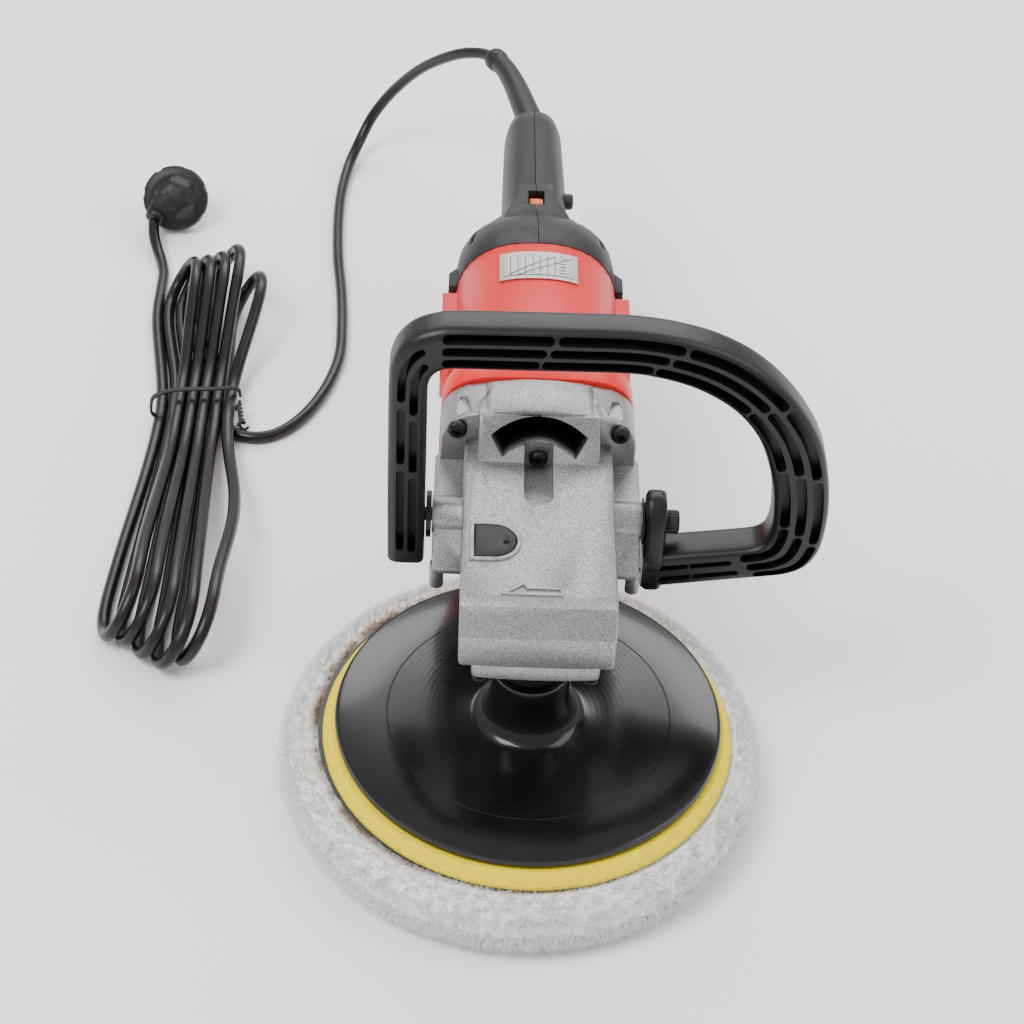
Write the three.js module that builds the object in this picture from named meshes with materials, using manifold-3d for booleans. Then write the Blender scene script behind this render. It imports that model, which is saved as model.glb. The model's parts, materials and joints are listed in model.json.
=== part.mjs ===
// Rotary polisher: right-angle gear head, universal motor, rear grip, loop handle,
// hook-and-loop backing plate with a wool pad, and its mains lead tied in a hank.
// Millimetres, +Z up. Origin on the spindle axis at the pad's working face; the body runs towards +Y.
import * as THREE from 'three';
import { mergeVertices } from 'three/addons/utils/BufferGeometryUtils.js';
import Module from 'manifold-3d';

const wasm = await Module();
wasm.setup();

// ---- driving dimensions ----
const GAP = 0.3;                 // clearance between fixed neighbours
const MOTOR_Z = 111;             // height of the motor axis
const PLATE_R = 83.5;            // backing plate radius
const PLATE_Z = 36.3;            // underside of the backing plate
const PLATE_TOP = 41;            // upper face of the backing plate
const FOAM_Z = 28.7;             // underside of the foam ring
const FOAM_R = 89;
const WOOL_R = 105.5;
const HUB_TOP = 70;
const SPINDLE_R = 6;
const HEAD_W = 63.5;             // width of the gear head
const HEAD_Z = 104;              // bottom face of the gear head casting
const HEAD_TOP = 132;            // flat top of the gear head
const NOSE_Y = -34.5;            // front face of the gear head
const COVER_Z = 96;              // underside of the bearing cover
const FLANGE_Y = 73;             // front face of the motor flange
const FLANGE_END = 95;
const FLANGE_HW = 42.3;          // flange half width
const FLANGE_HH = 38.6;          // flange half height
const SCREW_X = 35;              // flange screws, from the motor axis
const SCREW_DZ = 28;
const MOTOR_END = 197;           // rear edge of the motor housing
const MOTOR_HW = 37.8;
const MOTOR_HH = 37;
const BORE_R = 34;               // bore of the motor housing
const BOLT_Y = 44;               // loop handle bolts
const BOLT_Z = 115;
const EAR_X = 44.5;              // outer face of the handle bosses
const LOOP_Y = 31;               // front face of the loop handle
const LOOP_DEPTH = 18;
const CORD_R = 3.1;
const GEAR_TEETH = 30;
const PINION_TEETH = 9;
const GEAR_R = 26;               // pitch radius of the crown gear
const GEAR_TOP = 124.6;
const LOCK_X = -17.7;            // spindle lock button
const LOCK_Y = 9;
const LOCK_PIN_R = 23.3;         // radius of the pin's circle on the crown gear
const LOCK_HOLES = 6;
const FAN_BLADES = 9;
const LOCK_RIM = 2.3;              // raised rim round the lock button
const COVER_SCREW_X = 22.6;       // bearing cover screws
const COVER_SCREW_Y = [-31.4, 36.5];
const CHANNEL_HALF = 6.2;         // channel in front of the centre screw
const CHANNEL_END = 38.4;
const CENTRE_SCREW_Z = 129.9;
const MOTOR_N = 2.4;              // squareness of the motor housing section
const GRIP_WALL = 2.6;
const DIAL_Y = 254.5;             // axis of the speed dial
const DIAL_Z = 120.3;
const TOOTH_MODULE = (2 * GEAR_R) / GEAR_TEETH;
const PINION_CONE = Math.atan(PINION_TEETH / GEAR_TEETH);
const CONE_DISTANCE = GEAR_R / Math.cos(PINION_CONE);
const FACE_WIDTH = 7;
const TOOTH_THICKNESS = 0.5 * Math.PI * TOOTH_MODULE - 0.24;
const HANK_REAR = [-168, 343];    // round ends of the hank, seen from above
const HANK_REAR_R = 28;
const HANK_FRONT = [-173.6, 75];
const HANK_FRONT_R = 25;
const HANK_TOP = 20;
const TIE_Y = 242;
const WAIST = [-191.4, -149];     // sides of the hank where it is tied
const PLUG_AT = [-197, 409, 18.8];
const PLUG_R = 18.2;
const PLUG_TILT = 35;             // degrees that the plug leans back onto its pins
const PIN_R = 2.4;
const PIN_X = 9.5;

// Rows of handle grooves: spans along the loop's line, offsets across it and a width.
const LEG_GROOVES = {
  spans: [[0.025, 0.125], [0.14, 0.205], [0.22, 0.285]],
  offsets: [-3.1, 2.9],
  width: 3.6,
};
const BAR_GROOVES = {
  spans: [[0.335, 0.425], [0.437, 0.553], [0.565, 0.68], [0.692, 0.79], [0.802, 0.88], [0.892, 0.975]],
  offsets: [-6.8, 0, 6.8],
  width: 4.4,
};

const SEG = 32;
const group = new THREE.Group();

// ---- solids ----
function toSolid(geometry) {
  const bare = geometry.index ? geometry.clone() : geometry;
  bare.deleteAttribute('normal');
  bare.deleteAttribute('uv');
  const merged = mergeVertices(bare, 1e-4);
  const mesh = new wasm.Mesh({
    numProp: 3,
    vertProperties: new Float32Array(merged.attributes.position.array),
    triVerts: new Uint32Array(merged.index.array),
  });
  return new wasm.Manifold(mesh);
}

function toGeometry(solid) {
  const mesh = solid.getMesh();
  const geometry = new THREE.BufferGeometry();
  geometry.setAttribute('position', new THREE.BufferAttribute(mesh.vertProperties, 3));
  geometry.setIndex(new THREE.BufferAttribute(mesh.triVerts, 1));
  geometry.computeVertexNormals();
  return geometry;
}

function add(name, shape, look) {
  const geometry = shape.isBufferGeometry ? shape : toGeometry(shape);
  const material = new THREE.MeshStandardMaterial({
    color: look.color, roughness: look.roughness, metalness: look.metalness,
  });
  const mesh = new THREE.Mesh(geometry, material);
  mesh.name = name;
  group.add(mesh);
}

function box(x0, x1, y0, y1, z0, z1) {
  const geometry = new THREE.BoxGeometry(x1 - x0, y1 - y0, z1 - z0);
  geometry.translate((x0 + x1) / 2, (y0 + y1) / 2, (z0 + z1) / 2);
  return toSolid(geometry);
}

// A cylinder from a to b along the named axis, its centre at the two other coordinates.
function rod(axis, r, a, b, p = 0, q = 0, segments = 18) {
  const geometry = new THREE.CylinderGeometry(r, r, b - a, segments);
  const mid = (a + b) / 2;
  if (axis === 'x') {
    geometry.rotateZ(-Math.PI / 2);
    geometry.translate(mid, p, q);
  } else if (axis === 'y') {
    geometry.translate(p, mid, q);
  } else {
    geometry.rotateX(Math.PI / 2);
    geometry.translate(p, q, mid);
  }
  return toSolid(geometry);
}

// A solid of revolution about Z (or about Y when along is 'y'), from [radius, height] points.
function turned(points, segments = SEG, along = 'z') {
  const geometry = new THREE.LatheGeometry(points.map(([r, h]) => new THREE.Vector2(r, h)), segments);
  if (along === 'z') geometry.rotateX(Math.PI / 2);
  return toSolid(geometry);
}

function ring(axis, rIn, rOut, a, b, p = 0, q = 0, segments = 16) {
  return rod(axis, rOut, a, b, p, q, segments).subtract(rod(axis, rIn, a - 1, b + 1, p, q, segments));
}

function outline(points) {
  return new THREE.Shape(points.map(([x, y]) => new THREE.Vector2(x, y)));
}

function bevelled(shape, depth, bevel, segments = 2, curveSegments = 8) {
  return new THREE.ExtrudeGeometry(shape, {
    depth: depth - 2 * bevel, bevelEnabled: bevel > 0, bevelSize: bevel, bevelOffset: -bevel,
    bevelThickness: bevel, bevelSegments: segments, curveSegments,
  }).translate(0, 0, bevel);
}

// An outline drawn in X and Y, standing on z0.
function prismZ(shape, z0, z1, bevel = 0, curveSegments = 8) {
  return toSolid(bevelled(shape, z1 - z0, bevel, 2, curveSegments).translate(0, 0, z0));
}

// An outline drawn in Y and Z, running from x0 to x1.
function prismX(shape, x0, x1, bevel = 0, curveSegments = 8) {
  const geometry = bevelled(shape, x1 - x0, bevel, 2, curveSegments);
  geometry.rotateX(Math.PI / 2).rotateZ(Math.PI / 2).translate(x0, 0, 0);
  return toSolid(geometry);
}

// An outline drawn in X and Z, running from y0 to y1.
function prismY(shape, y0, y1, bevel = 0, curveSegments = 8) {
  const geometry = bevelled(shape, y1 - y0, bevel, 2, curveSegments);
  geometry.rotateX(Math.PI / 2).translate(0, y1, 0);
  return toSolid(geometry);
}

// A skin through superellipse sections [y, half width, half height, centre z, exponent].
function loft(sections, sides = 32) {
  const points = [];
  for (const [y, a, b, zc, n] of sections) {
    for (let i = 0; i < sides; i += 1) {
      const t = (i / sides) * 2 * Math.PI;
      const c = Math.cos(t);
      const s = Math.sin(t);
      const across = Math.sign(c) * Math.abs(c) ** (2 / n);
      const upward = Math.sign(s) * Math.abs(s) ** (2 / n);
      points.push(a * across, y, zc + b * upward);
    }
  }
  const last = sections.length - 1;
  points.push(0, sections[0][0], sections[0][3], 0, sections[last][0], sections[last][3]);
  const index = [];
  for (let k = 0; k < last; k += 1) {
    for (let i = 0; i < sides; i += 1) {
      const j = (i + 1) % sides;
      const [p, q, r, s] = [k * sides + i, k * sides + j, (k + 1) * sides + i, (k + 1) * sides + j];
      index.push(p, r, q, q, r, s);
    }
  }
  const [front, back] = [sections.length * sides, sections.length * sides + 1];
  for (let i = 0; i < sides; i += 1) {
    const j = (i + 1) % sides;
    index.push(front, i, j, back, last * sides + j, last * sides + i);
  }
  const geometry = new THREE.BufferGeometry();
  geometry.setAttribute('position', new THREE.Float32BufferAttribute(points, 3));
  geometry.setIndex(index);
  return toSolid(geometry);
}

// A round bar whose radius changes along a curve: radii are [fraction, radius] pairs.
function taperedBar(curve, radii, steps, sides = 16) {
  const frames = curve.computeFrenetFrames(steps, false);
  const points = [];
  const radiusAt = (t) => {
    const k = Math.max(1, radii.findIndex(([u]) => u >= t));
    const [[u0, r0], [u1, r1]] = [radii[k - 1], radii[k]];
    return r0 + (r1 - r0) * (t - u0) / (u1 - u0);
  };
  for (let k = 0; k <= steps; k += 1) {
    const p = curve.getPointAt(k / steps);
    const r = radiusAt(k / steps);
    for (let i = 0; i < sides; i += 1) {
      const t = (i / sides) * 2 * Math.PI;
      const v = p.clone().addScaledVector(frames.normals[k], r * Math.cos(t));
      v.addScaledVector(frames.binormals[k], r * Math.sin(t));
      points.push(v.x, v.y, v.z);
    }
  }
  const index = [];
  for (let k = 0; k < steps; k += 1) {
    for (let i = 0; i < sides; i += 1) {
      const j = (i + 1) % sides;
      const [p, q, r, s] = [k * sides + i, k * sides + j, (k + 1) * sides + i, (k + 1) * sides + j];
      index.push(p, q, r, q, s, r);
    }
  }
  for (let i = 1; i < sides - 1; i += 1) {
    index.push(0, i + 1, i, steps * sides, steps * sides + i, steps * sides + i + 1);
  }
  const geometry = new THREE.BufferGeometry();
  geometry.setAttribute('position', new THREE.Float32BufferAttribute(points, 3));
  geometry.setIndex(index);
  return geometry;
}

// ---- looks ----
const CAST = { color: 0xb4b6b9, roughness: 0.5, metalness: 0.9 };
const STEEL = { color: 0x9a9da1, roughness: 0.35, metalness: 1 };
const BLACK_STEEL = { color: 0x1c1c1e, roughness: 0.4, metalness: 0.8 };
const COPPER = { color: 0xb5713a, roughness: 0.4, metalness: 1 };
const CARBON = { color: 0x26272a, roughness: 0.8, metalness: 0.2 };
const RED = { color: 0xf2544b, roughness: 0.42, metalness: 0 };
const BLACK = { color: 0x2a2b2d, roughness: 0.6, metalness: 0 };
const GLOSS = { color: 0x0e0e10, roughness: 0.18, metalness: 0 };
const RUBBER = { color: 0x1d1d1f, roughness: 0.7, metalness: 0 };
const FOAM = { color: 0xf2e62a, roughness: 0.6, metalness: 0 };
const WOOL = { color: 0xf1f1ee, roughness: 1, metalness: 0 };
const CLOTH = { color: 0x2b2b2b, roughness: 0.95, metalness: 0 };
const ORANGE = { color: 0xf07a2c, roughness: 0.5, metalness: 0 };
const LABEL = { color: 0xc3c6c9, roughness: 0.4, metalness: 0.3 };

// ---- pad stack ----
function padStack() {
  add('wool_pad', turned([
    [0, 0], [93, 0], [100, 2.5], [104.2, 8], [WOOL_R, 15], [103.4, 22], [98.5, 27.4],
    [93.5, 29], [91, 27.8], [89, 25.7], [0, 25.7],
  ], 32), WOOL);
  add('wool_backing', turned([[0, 26], [88.4, 26], [88.4, 27], [0, 27]], 36), CLOTH);
  add('hook_disc', turned([[0, 27.3], [87.5, 27.3], [87.5, 28.4], [0, 28.4]], 36), CLOTH);
  add('foam_pad', turned([
    [0, FOAM_Z], [FOAM_R - 0.6, FOAM_Z], [FOAM_R, 29.4], [85.4, 36], [0, 36],
  ], 48), FOAM);
  add('backing_plate', turned([
    [0, PLATE_Z], [PLATE_R, PLATE_Z], [PLATE_R, 39.4], [82.2, 40.7], [61.5, PLATE_TOP], [61.2, 40.6],
    [60.8, 40.6], [60.5, PLATE_TOP], [24, PLATE_TOP], [19.6, 42.8], [17.4, 47], [16.8, 54],
    [16.4, HUB_TOP], [13.4, HUB_TOP], [13.4, 45.5], [0, 45.5],
  ], 36), GLOSS);
  add('thread_insert', turned([
    [7.3, 46], [13.1, 46], [13.1, HUB_TOP - 0.4], [7.3, HUB_TOP - 0.4], [7.3, 46],
  ], 16), STEEL);
}

// ---- spindle and bevel gears ----
// A straight bevel gear about Z with its pitch cone's apex at the origin and its teeth towards +Z.
// Each tooth is an involute on the back cone, carried towards the apex over the face width.
function bevelGear(teeth, coneAngle, coneDistance, face, addendum, dedendum, thickness) {
  const pressure = THREE.MathUtils.degToRad(20);
  const pitch = coneDistance * Math.tan(coneAngle);
  const base = pitch * Math.cos(pressure);
  const inv = (r) => {
    const a = Math.acos(Math.min(1, base / Math.max(r, base)));
    return Math.tan(a) - a;
  };
  const half = (r) => thickness / (2 * pitch) + inv(pitch) - inv(r);
  const [root, tip] = [pitch - dedendum, pitch + addendum];
  const radii = [root, pitch, tip];
  const rim = [];
  for (let k = 0; k < teeth; k += 1) {
    const centre = (k / teeth) * 2 * Math.PI;
    const side = (sign, r) => rim.push([r, centre + sign * half(r) / Math.cos(coneAngle)]);
    radii.forEach((r) => side(-1, r));
    [...radii].reverse().forEach((r) => side(1, r));
  }
  const points = [];
  for (const scale of [1, (coneDistance - face) / coneDistance]) {
    for (const [r, angle] of rim) {
      const radius = r * Math.cos(coneAngle) * scale;
      const z = (coneDistance / Math.cos(coneAngle) - r * Math.sin(coneAngle)) * scale;
      points.push(radius * Math.cos(angle), radius * Math.sin(angle), z);
    }
  }
  const n = rim.length;
  const tipZ = (s) => (coneDistance / Math.cos(coneAngle) - root * Math.sin(coneAngle)) * s;
  points.push(0, 0, tipZ(1), 0, 0, tipZ((coneDistance - face) / coneDistance));
  const index = [];
  for (let i = 0; i < n; i += 1) {
    const j = (i + 1) % n;
    index.push(n + i, n + j, j, n + i, j, i, 2 * n, i, j, 2 * n + 1, n + j, n + i);
  }
  const geometry = new THREE.BufferGeometry();
  geometry.setAttribute('position', new THREE.Float32BufferAttribute(points, 3));
  geometry.setIndex(index);
  return geometry;
}

function crownGear() {
  const geometry = bevelGear(
    GEAR_TEETH, Math.PI / 2 - PINION_CONE, CONE_DISTANCE, FACE_WIDTH,
    0.7 * TOOTH_MODULE, 1.35 * TOOTH_MODULE, TOOTH_THICKNESS,
  );
  geometry.rotateZ(Math.PI / 2 + Math.PI / GEAR_TEETH).translate(0, 0, MOTOR_Z);
  let gear = toSolid(geometry);
  gear = gear.add(turned([
    [0, GEAR_TOP - 3.8], [24.5, GEAR_TOP - 3.8], [27, GEAR_TOP - 3], [27, GEAR_TOP], [0, GEAR_TOP],
  ], 36));
  gear = gear.subtract(rod('z', SPINDLE_R + GAP, 100, 130));
  for (let k = 0; k < LOCK_HOLES; k += 1) {
    const angle = Math.atan2(LOCK_Y, LOCK_X) + (k / LOCK_HOLES) * 2 * Math.PI;
    const [x, y] = [LOCK_PIN_R * Math.cos(angle), LOCK_PIN_R * Math.sin(angle)];
    gear = gear.subtract(rod('z', 3, GEAR_TOP - 2.6, GEAR_TOP + 1, x, y, 8));
  }
  return gear;
}

function pinion() {
  const geometry = bevelGear(
    PINION_TEETH, PINION_CONE, CONE_DISTANCE, FACE_WIDTH,
    0.95 * TOOTH_MODULE, 1.05 * TOOTH_MODULE, TOOTH_THICKNESS,
  );
  geometry.rotateZ(-Math.PI / 2).rotateX(-Math.PI / 2).translate(0, 0, MOTOR_Z);
  const shank = rod('y', 5.6, GEAR_R - 0.2, 37, 0, MOTOR_Z, 20);
  const bore = rod('y', 4 + GAP, 20, 38, 0, MOTOR_Z, 20);
  return toSolid(geometry).add(shank).subtract(bore);
}

function spindleParts() {
  add('spindle', turned([
    [0, 52], [6.6, 52], [7, 52.6], [7, HUB_TOP + 0.6], [14, HUB_TOP + 0.6], [14, 88], [10, 91], [9.6, 95.5],
    [SPINDLE_R, 97], [SPINDLE_R, GEAR_TOP - 0.6], [0, GEAR_TOP - 0.6],
  ], 28), BLACK_STEEL);
  add('crown_gear', crownGear(), STEEL);
  add('spindle_bearing', ring('z', SPINDLE_R + GAP, 14, 98.6, 106.6), STEEL);
}

// ---- gear head ----
function sideProfile() {
  return outline([
    [NOSE_Y, HEAD_Z], [NOSE_Y, 119.6], [NOSE_Y + 4.9, 126.6], [-27.4, HEAD_TOP - 1.6], [-23.4, HEAD_TOP],
    [FLANGE_Y + 1, HEAD_TOP], [FLANGE_Y + 1, 92], [52, HEAD_Z],
  ]);
}

function cheekProfile() {
  return outline([
    [25, 98], [25, 101], [41, 118], [FLANGE_Y + 3, 121], [FLANGE_Y + 3, 93], [50, 98],
  ]);
}

function flangeShape() {
  const shape = new THREE.Shape();
  const [w, h, r] = [FLANGE_HW, FLANGE_HH, 15];
  const crown = 5.6;
  shape.moveTo(-w + r, MOTOR_Z - h);
  shape.lineTo(w - r, MOTOR_Z - h);
  shape.absarc(w - r, MOTOR_Z - h + r, r, -Math.PI / 2, 0);
  shape.lineTo(w, MOTOR_Z + h - crown - r);
  shape.quadraticCurveTo(w, MOTOR_Z + h - crown - 3, w - 11, MOTOR_Z + h - crown + 1.4);
  shape.quadraticCurveTo(0, MOTOR_Z + h + 4.2, -w + 11, MOTOR_Z + h - crown + 1.4);
  shape.quadraticCurveTo(-w, MOTOR_Z + h - crown - 3, -w, MOTOR_Z + h - crown - r);
  shape.lineTo(-w, MOTOR_Z - h + r);
  shape.absarc(-w + r, MOTOR_Z - h + r, r, Math.PI, 1.5 * Math.PI);
  return shape;
}

// The neck rises from the head to the flange between the two corner pockets.
function neck() {
  const shape = outline([
    [50, 100], [50, HEAD_TOP - 0.6], [59, HEAD_TOP - 0.4], [FLANGE_Y - 1, 147.4], [FLANGE_Y + 9, 147.2],
    [FLANGE_Y + 9, 80], [FLANGE_Y - 6, 82],
  ]);
  return prismX(shape, -26, 26, 1);
}

function ventCutter() {
  const shape = new THREE.Shape();
  const [rIn, rOut, half] = [26.5, 35.4, THREE.MathUtils.degToRad(36)];
  shape.absarc(0, MOTOR_Z + 1, rOut, Math.PI / 2 + half, Math.PI / 2 - half, true);
  shape.absarc(0, MOTOR_Z + 1, rIn, Math.PI / 2 - half, Math.PI / 2 + half, false);
  return prismY(shape, 50, FLANGE_Y + 6);
}

function gearboxCavity() {
  let cavity = box(-28.3, 28.3, -30, 34, HEAD_Z - 1, 125.6);
  cavity = cavity.add(box(-16, 16, 33, 58, 100.5, 119));
  cavity = cavity.add(rod('y', 13.2, 57, FLANGE_Y + 5, 0, MOTOR_Z, 28));
  return cavity.add(rod('y', 32.6, FLANGE_Y + 3.4, FLANGE_END + 1, 0, MOTOR_Z, 40));
}

// D-shaped recess of the spindle lock button: flat towards -X.
function lockOutline(grow) {
  const shape = new THREE.Shape();
  const [w, r] = [8.6 + grow, 9.4 + grow];
  shape.moveTo(LOCK_X - w, LOCK_Y - r);
  shape.lineTo(LOCK_X - 1, LOCK_Y - r);
  shape.absarc(LOCK_X - 1, LOCK_Y, r, -Math.PI / 2, Math.PI / 2);
  shape.lineTo(LOCK_X - w, LOCK_Y + r);
  return shape;
}

function arrowRelief() {
  const shape = outline([
    [9.8, -22.2], [9.2, -17.8], [-4.2, -17.8], [-4.8, -15.4], [-6.4, -15.2], [-15.6, -22.2],
  ]);
  shape.holes.push(outline([
    [-12.6, -21.3], [-6.4, -16.5], [-5.2, -18.8], [8.4, -18.8], [8.7, -21.3],
  ]));
  return prismZ(shape, HEAD_TOP - 0.4, HEAD_TOP + 0.7);
}

function boss(side) {
  const inner = side * 30;
  const outer = side * EAR_X;
  const [x0, x1] = [Math.min(inner, outer), Math.max(inner, outer)];
  const pad = rod('x', 8, x0, x1, BOLT_Y, BOLT_Z, 20);
  const stub = rod('z', 3.1, 89, 101, side * 41.8, 28.4, 14);
  const [c0, c1] = [Math.min(side * 29, side * (EAR_X - 0.4)), Math.max(side * 29, side * (EAR_X - 0.4))];
  return prismX(cheekProfile(), c0, c1, 1.4).add(pad).add(stub);
}

function cornerPocket(side) {
  const shape = outline([
    [side * 29, FLANGE_Y + 3], [side * 31, FLANGE_Y + 13], [side * 34, FLANGE_Y + 14.5],
    [side * 39.5, FLANGE_Y + 3],
  ]);
  return prismZ(shape, 143.2, 155);
}

function gearHousing() {
  let solid = prismX(sideProfile(), -HEAD_W / 2, HEAD_W / 2, 1.6);
  solid = solid.add(neck());
  solid = solid.add(prismY(flangeShape(), FLANGE_Y, FLANGE_END, 1, 5));
  for (const side of [-1, 1]) {
    solid = solid.add(boss(side));
    solid = solid.subtract(cornerPocket(side));
    solid = solid.subtract(rod('x', 3.4, side > 0 ? 36 : -50, side > 0 ? 50 : -36, BOLT_Y, BOLT_Z, 20));
    for (const dz of [-SCREW_DZ, SCREW_DZ]) {
      solid = solid.subtract(rod('y', 2.6, FLANGE_Y - 3, FLANGE_END + 1, side * SCREW_X, MOTOR_Z + dz, 14));
    }
    for (const y of COVER_SCREW_Y) {
      solid = solid.subtract(rod('z', 1.9, HEAD_Z - 1, 114, side * COVER_SCREW_X, y, 12));
    }
  }
  solid = solid.add(arrowRelief());
  solid = solid.add(prismZ(lockOutline(LOCK_RIM), HEAD_TOP - 1, HEAD_TOP + 0.8, 0.5, 8));
  solid = solid.subtract(channelCutter());
  solid = solid.subtract(ventCutter());
  solid = solid.subtract(prismZ(lockOutline(0.5), 127.6, HEAD_TOP + 2, 0, 8));
  solid = solid.subtract(rod('z', 2.8, 120, 130, ...lockPin(), 16));
  return solid.subtract(gearboxCavity());
}

function lockPin() {
  const angle = Math.atan2(LOCK_Y, LOCK_X);
  return [LOCK_PIN_R * Math.cos(angle), LOCK_PIN_R * Math.sin(angle)];
}

// Round-ended channel in front of the neck, with the centre screw at its end wall.
function channelCutter() {
  const shape = new THREE.Shape();
  shape.moveTo(-CHANNEL_HALF, FLANGE_Y - 7);
  shape.lineTo(-CHANNEL_HALF, CHANNEL_END);
  shape.absarc(0, CHANNEL_END, CHANNEL_HALF, Math.PI, 2 * Math.PI);
  shape.lineTo(CHANNEL_HALF, FLANGE_Y - 7);
  const channel = prismZ(shape, 125.4, 160);
  return channel.add(rod('y', 2.2, 62, 74, 0, CENTRE_SCREW_Z, 12));
}

function bearingCover() {
  const shape = new THREE.Shape();
  const [w, r, back] = [26.2, 3, 41];
  shape.moveTo(-w, NOSE_Y + r);
  shape.quadraticCurveTo(-w + 0.4, NOSE_Y + 0.8, -w + r, NOSE_Y + 0.5);
  shape.quadraticCurveTo(0, NOSE_Y - 1.1, w - r, NOSE_Y + 0.5);
  shape.quadraticCurveTo(w - 0.4, NOSE_Y + 0.8, w, NOSE_Y + r);
  shape.lineTo(w, back - 12);
  shape.absarc(w - 12, back - 12, 12, 0, Math.PI / 2);
  shape.absarc(-w + 12, back - 12, 12, Math.PI / 2, Math.PI);
  let cover = prismZ(shape, COVER_Z, HEAD_Z - GAP, 0.8, 4);
  cover = cover.add(rod('z', 16.6, COVER_Z + 2, 108.6, 0, 0, 32));
  cover = cover.subtract(rod('z', 10.4, COVER_Z - 1, 112));
  cover = cover.subtract(rod('z', 14 + GAP, 98.3, 112));
  cover = cover.subtract(box(-11, 11, 17.4, 38, 100.8, HEAD_Z));
  for (const x of [-COVER_SCREW_X, COVER_SCREW_X]) {
    for (const y of COVER_SCREW_Y) cover = cover.subtract(rod('z', 1.9, COVER_Z - 1, HEAD_Z, x, y, 12));
  }
  return cover;
}

// A screw along Z: head above the seat at zero, shank below it, hexagonal socket in the head.
function screw(headR, headH, shankR, length, sides = 12) {
  const body = turned([
    [0, -length], [shankR, -length], [shankR, 0], [headR, 0], [headR, headH * 0.55],
    [headR * 0.7, headH], [0, headH],
  ], sides);
  return body.subtract(rod('z', headR * 0.5, headH * 0.4, headH + 1, 0, 0, 6));
}

function headScrews() {
  for (const [i, side] of [-1, 1].entries()) {
    for (const [j, dz] of [SCREW_DZ, -SCREW_DZ].entries()) {
      const solid = screw(4.3, 3.4, 2.2, 32).rotate([90, 0, 0]);
      const seat = [side * SCREW_X, FLANGE_Y - GAP, MOTOR_Z + dz];
      add(`flange_screw_${2 * i + j + 1}`, solid.translate(seat), BLACK_STEEL);
    }
    for (const [j, y] of COVER_SCREW_Y.entries()) {
      const solid = screw(3.1, 2.2, 1.6, 14, 12).rotate([180, 0, 0]);
      const seat = [side * COVER_SCREW_X, y, COVER_Z - GAP];
      add(`cover_screw_${2 * i + j + 1}`, solid.translate(seat), BLACK_STEEL);
    }
  }
  const centre = screw(4, 3, 1.8, 7).rotate([90, 0, 0]).translate([0, FLANGE_Y - 7 - GAP, CENTRE_SCREW_Z]);
  add('centre_screw', centre, BLACK_STEEL);
}

function spindleLock() {
  const [px, py] = lockPin();
  let button = prismZ(lockOutline(0), 130.2, HEAD_TOP + 1, 0.5, 8);
  button = button.subtract(rod('z', 1.2, HEAD_TOP + 0.2, HEAD_TOP + 2, LOCK_X + 4.2, LOCK_Y - 1.2, 12));
  add('spindle_lock_button', button, BLACK);
  add('spindle_lock_pin', rod('z', 2.4, GEAR_TOP + 0.4, 129.9, px, py, 16), STEEL);
}

// ---- motor ----

function motorHousing() {
  const [w, h] = [MOTOR_HW, MOTOR_HH];
  let solid = loft([
    [FLANGE_END + GAP, FLANGE_HW + 0.5, FLANGE_HH, MOTOR_Z, 4.2],
    [108, FLANGE_HW + 0.2, FLANGE_HH, MOTOR_Z, 4.2],
    [116, 40, h + 0.8, MOTOR_Z, 3],
    [124, w + 0.4, h + 0.4, MOTOR_Z, MOTOR_N],
    [MOTOR_END, w, h, MOTOR_Z, MOTOR_N],
  ], 40);
  for (const side of [-1, 1]) {
    const lug = prismZ(outline([
      [side * 30, 142], [side * 40, 142], [side * 43.8, 148], [side * 43.8, MOTOR_END - 5.2],
      [side * 30, MOTOR_END - 5.2],
    ]), 94, 122, 1);
    solid = solid.add(lug);
  }
  solid = solid.subtract(rod('y', BORE_R, FLANGE_END - 1, MOTOR_END - 14, 0, MOTOR_Z, 36));
  solid = solid.subtract(rod('y', BORE_R, MOTOR_END - 6, MOTOR_END + 1, 0, MOTOR_Z, 36));
  for (let k = 0; k < 4; k += 1) {
    const angle = Math.PI / 4 + (k * Math.PI) / 2;
    const [x, z] = [23 * Math.cos(angle), MOTOR_Z + 23 * Math.sin(angle)];
    solid = solid.subtract(rod('y', 8.5, MOTOR_END - 20, MOTOR_END, x, z, 12));
  }
  solid = solid.subtract(rod('y', 11 + GAP, MOTOR_END - 20, MOTOR_END, 0, MOTOR_Z, 28));
  for (const side of [-1, 1]) {
    const slot = box(...(side > 0 ? [14, 42] : [-42, -14]), 168.7, 181.3, 103.2, 118.8);
    solid = solid.subtract(slot);
    for (const dz of [-SCREW_DZ, SCREW_DZ]) {
      solid = solid.subtract(rod('y', 2.6, FLANGE_END - 1, 106.5, side * SCREW_X, MOTOR_Z + dz, 14));
    }
  }
  return solid;
}

function statorCore() {
  const shape = new THREE.Shape();
  shape.absarc(0, MOTOR_Z, BORE_R - 0.5, 0, 2 * Math.PI);
  const hole = new THREE.Path();
  const rad = THREE.MathUtils.degToRad;
  hole.absarc(0, MOTOR_Z, 22, rad(-58), rad(58), false);
  hole.absarc(0, MOTOR_Z, 29.4, rad(60), rad(120), false);
  hole.absarc(0, MOTOR_Z, 22, rad(122), rad(238), false);
  hole.absarc(0, MOTOR_Z, 29.4, rad(240), rad(300), false);
  shape.holes.push(hole);
  return prismY(shape, 116, 158, 0, 8);
}

function fieldCoil(angle) {
  const shape = new THREE.Shape();
  const half = THREE.MathUtils.degToRad(26);
  shape.absarc(0, MOTOR_Z, 28.8, angle - half, angle + half, false);
  shape.absarc(0, MOTOR_Z, 22.8, angle + half, angle - half, true);
  return prismY(shape, 108, 166, 0, 6);
}

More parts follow.
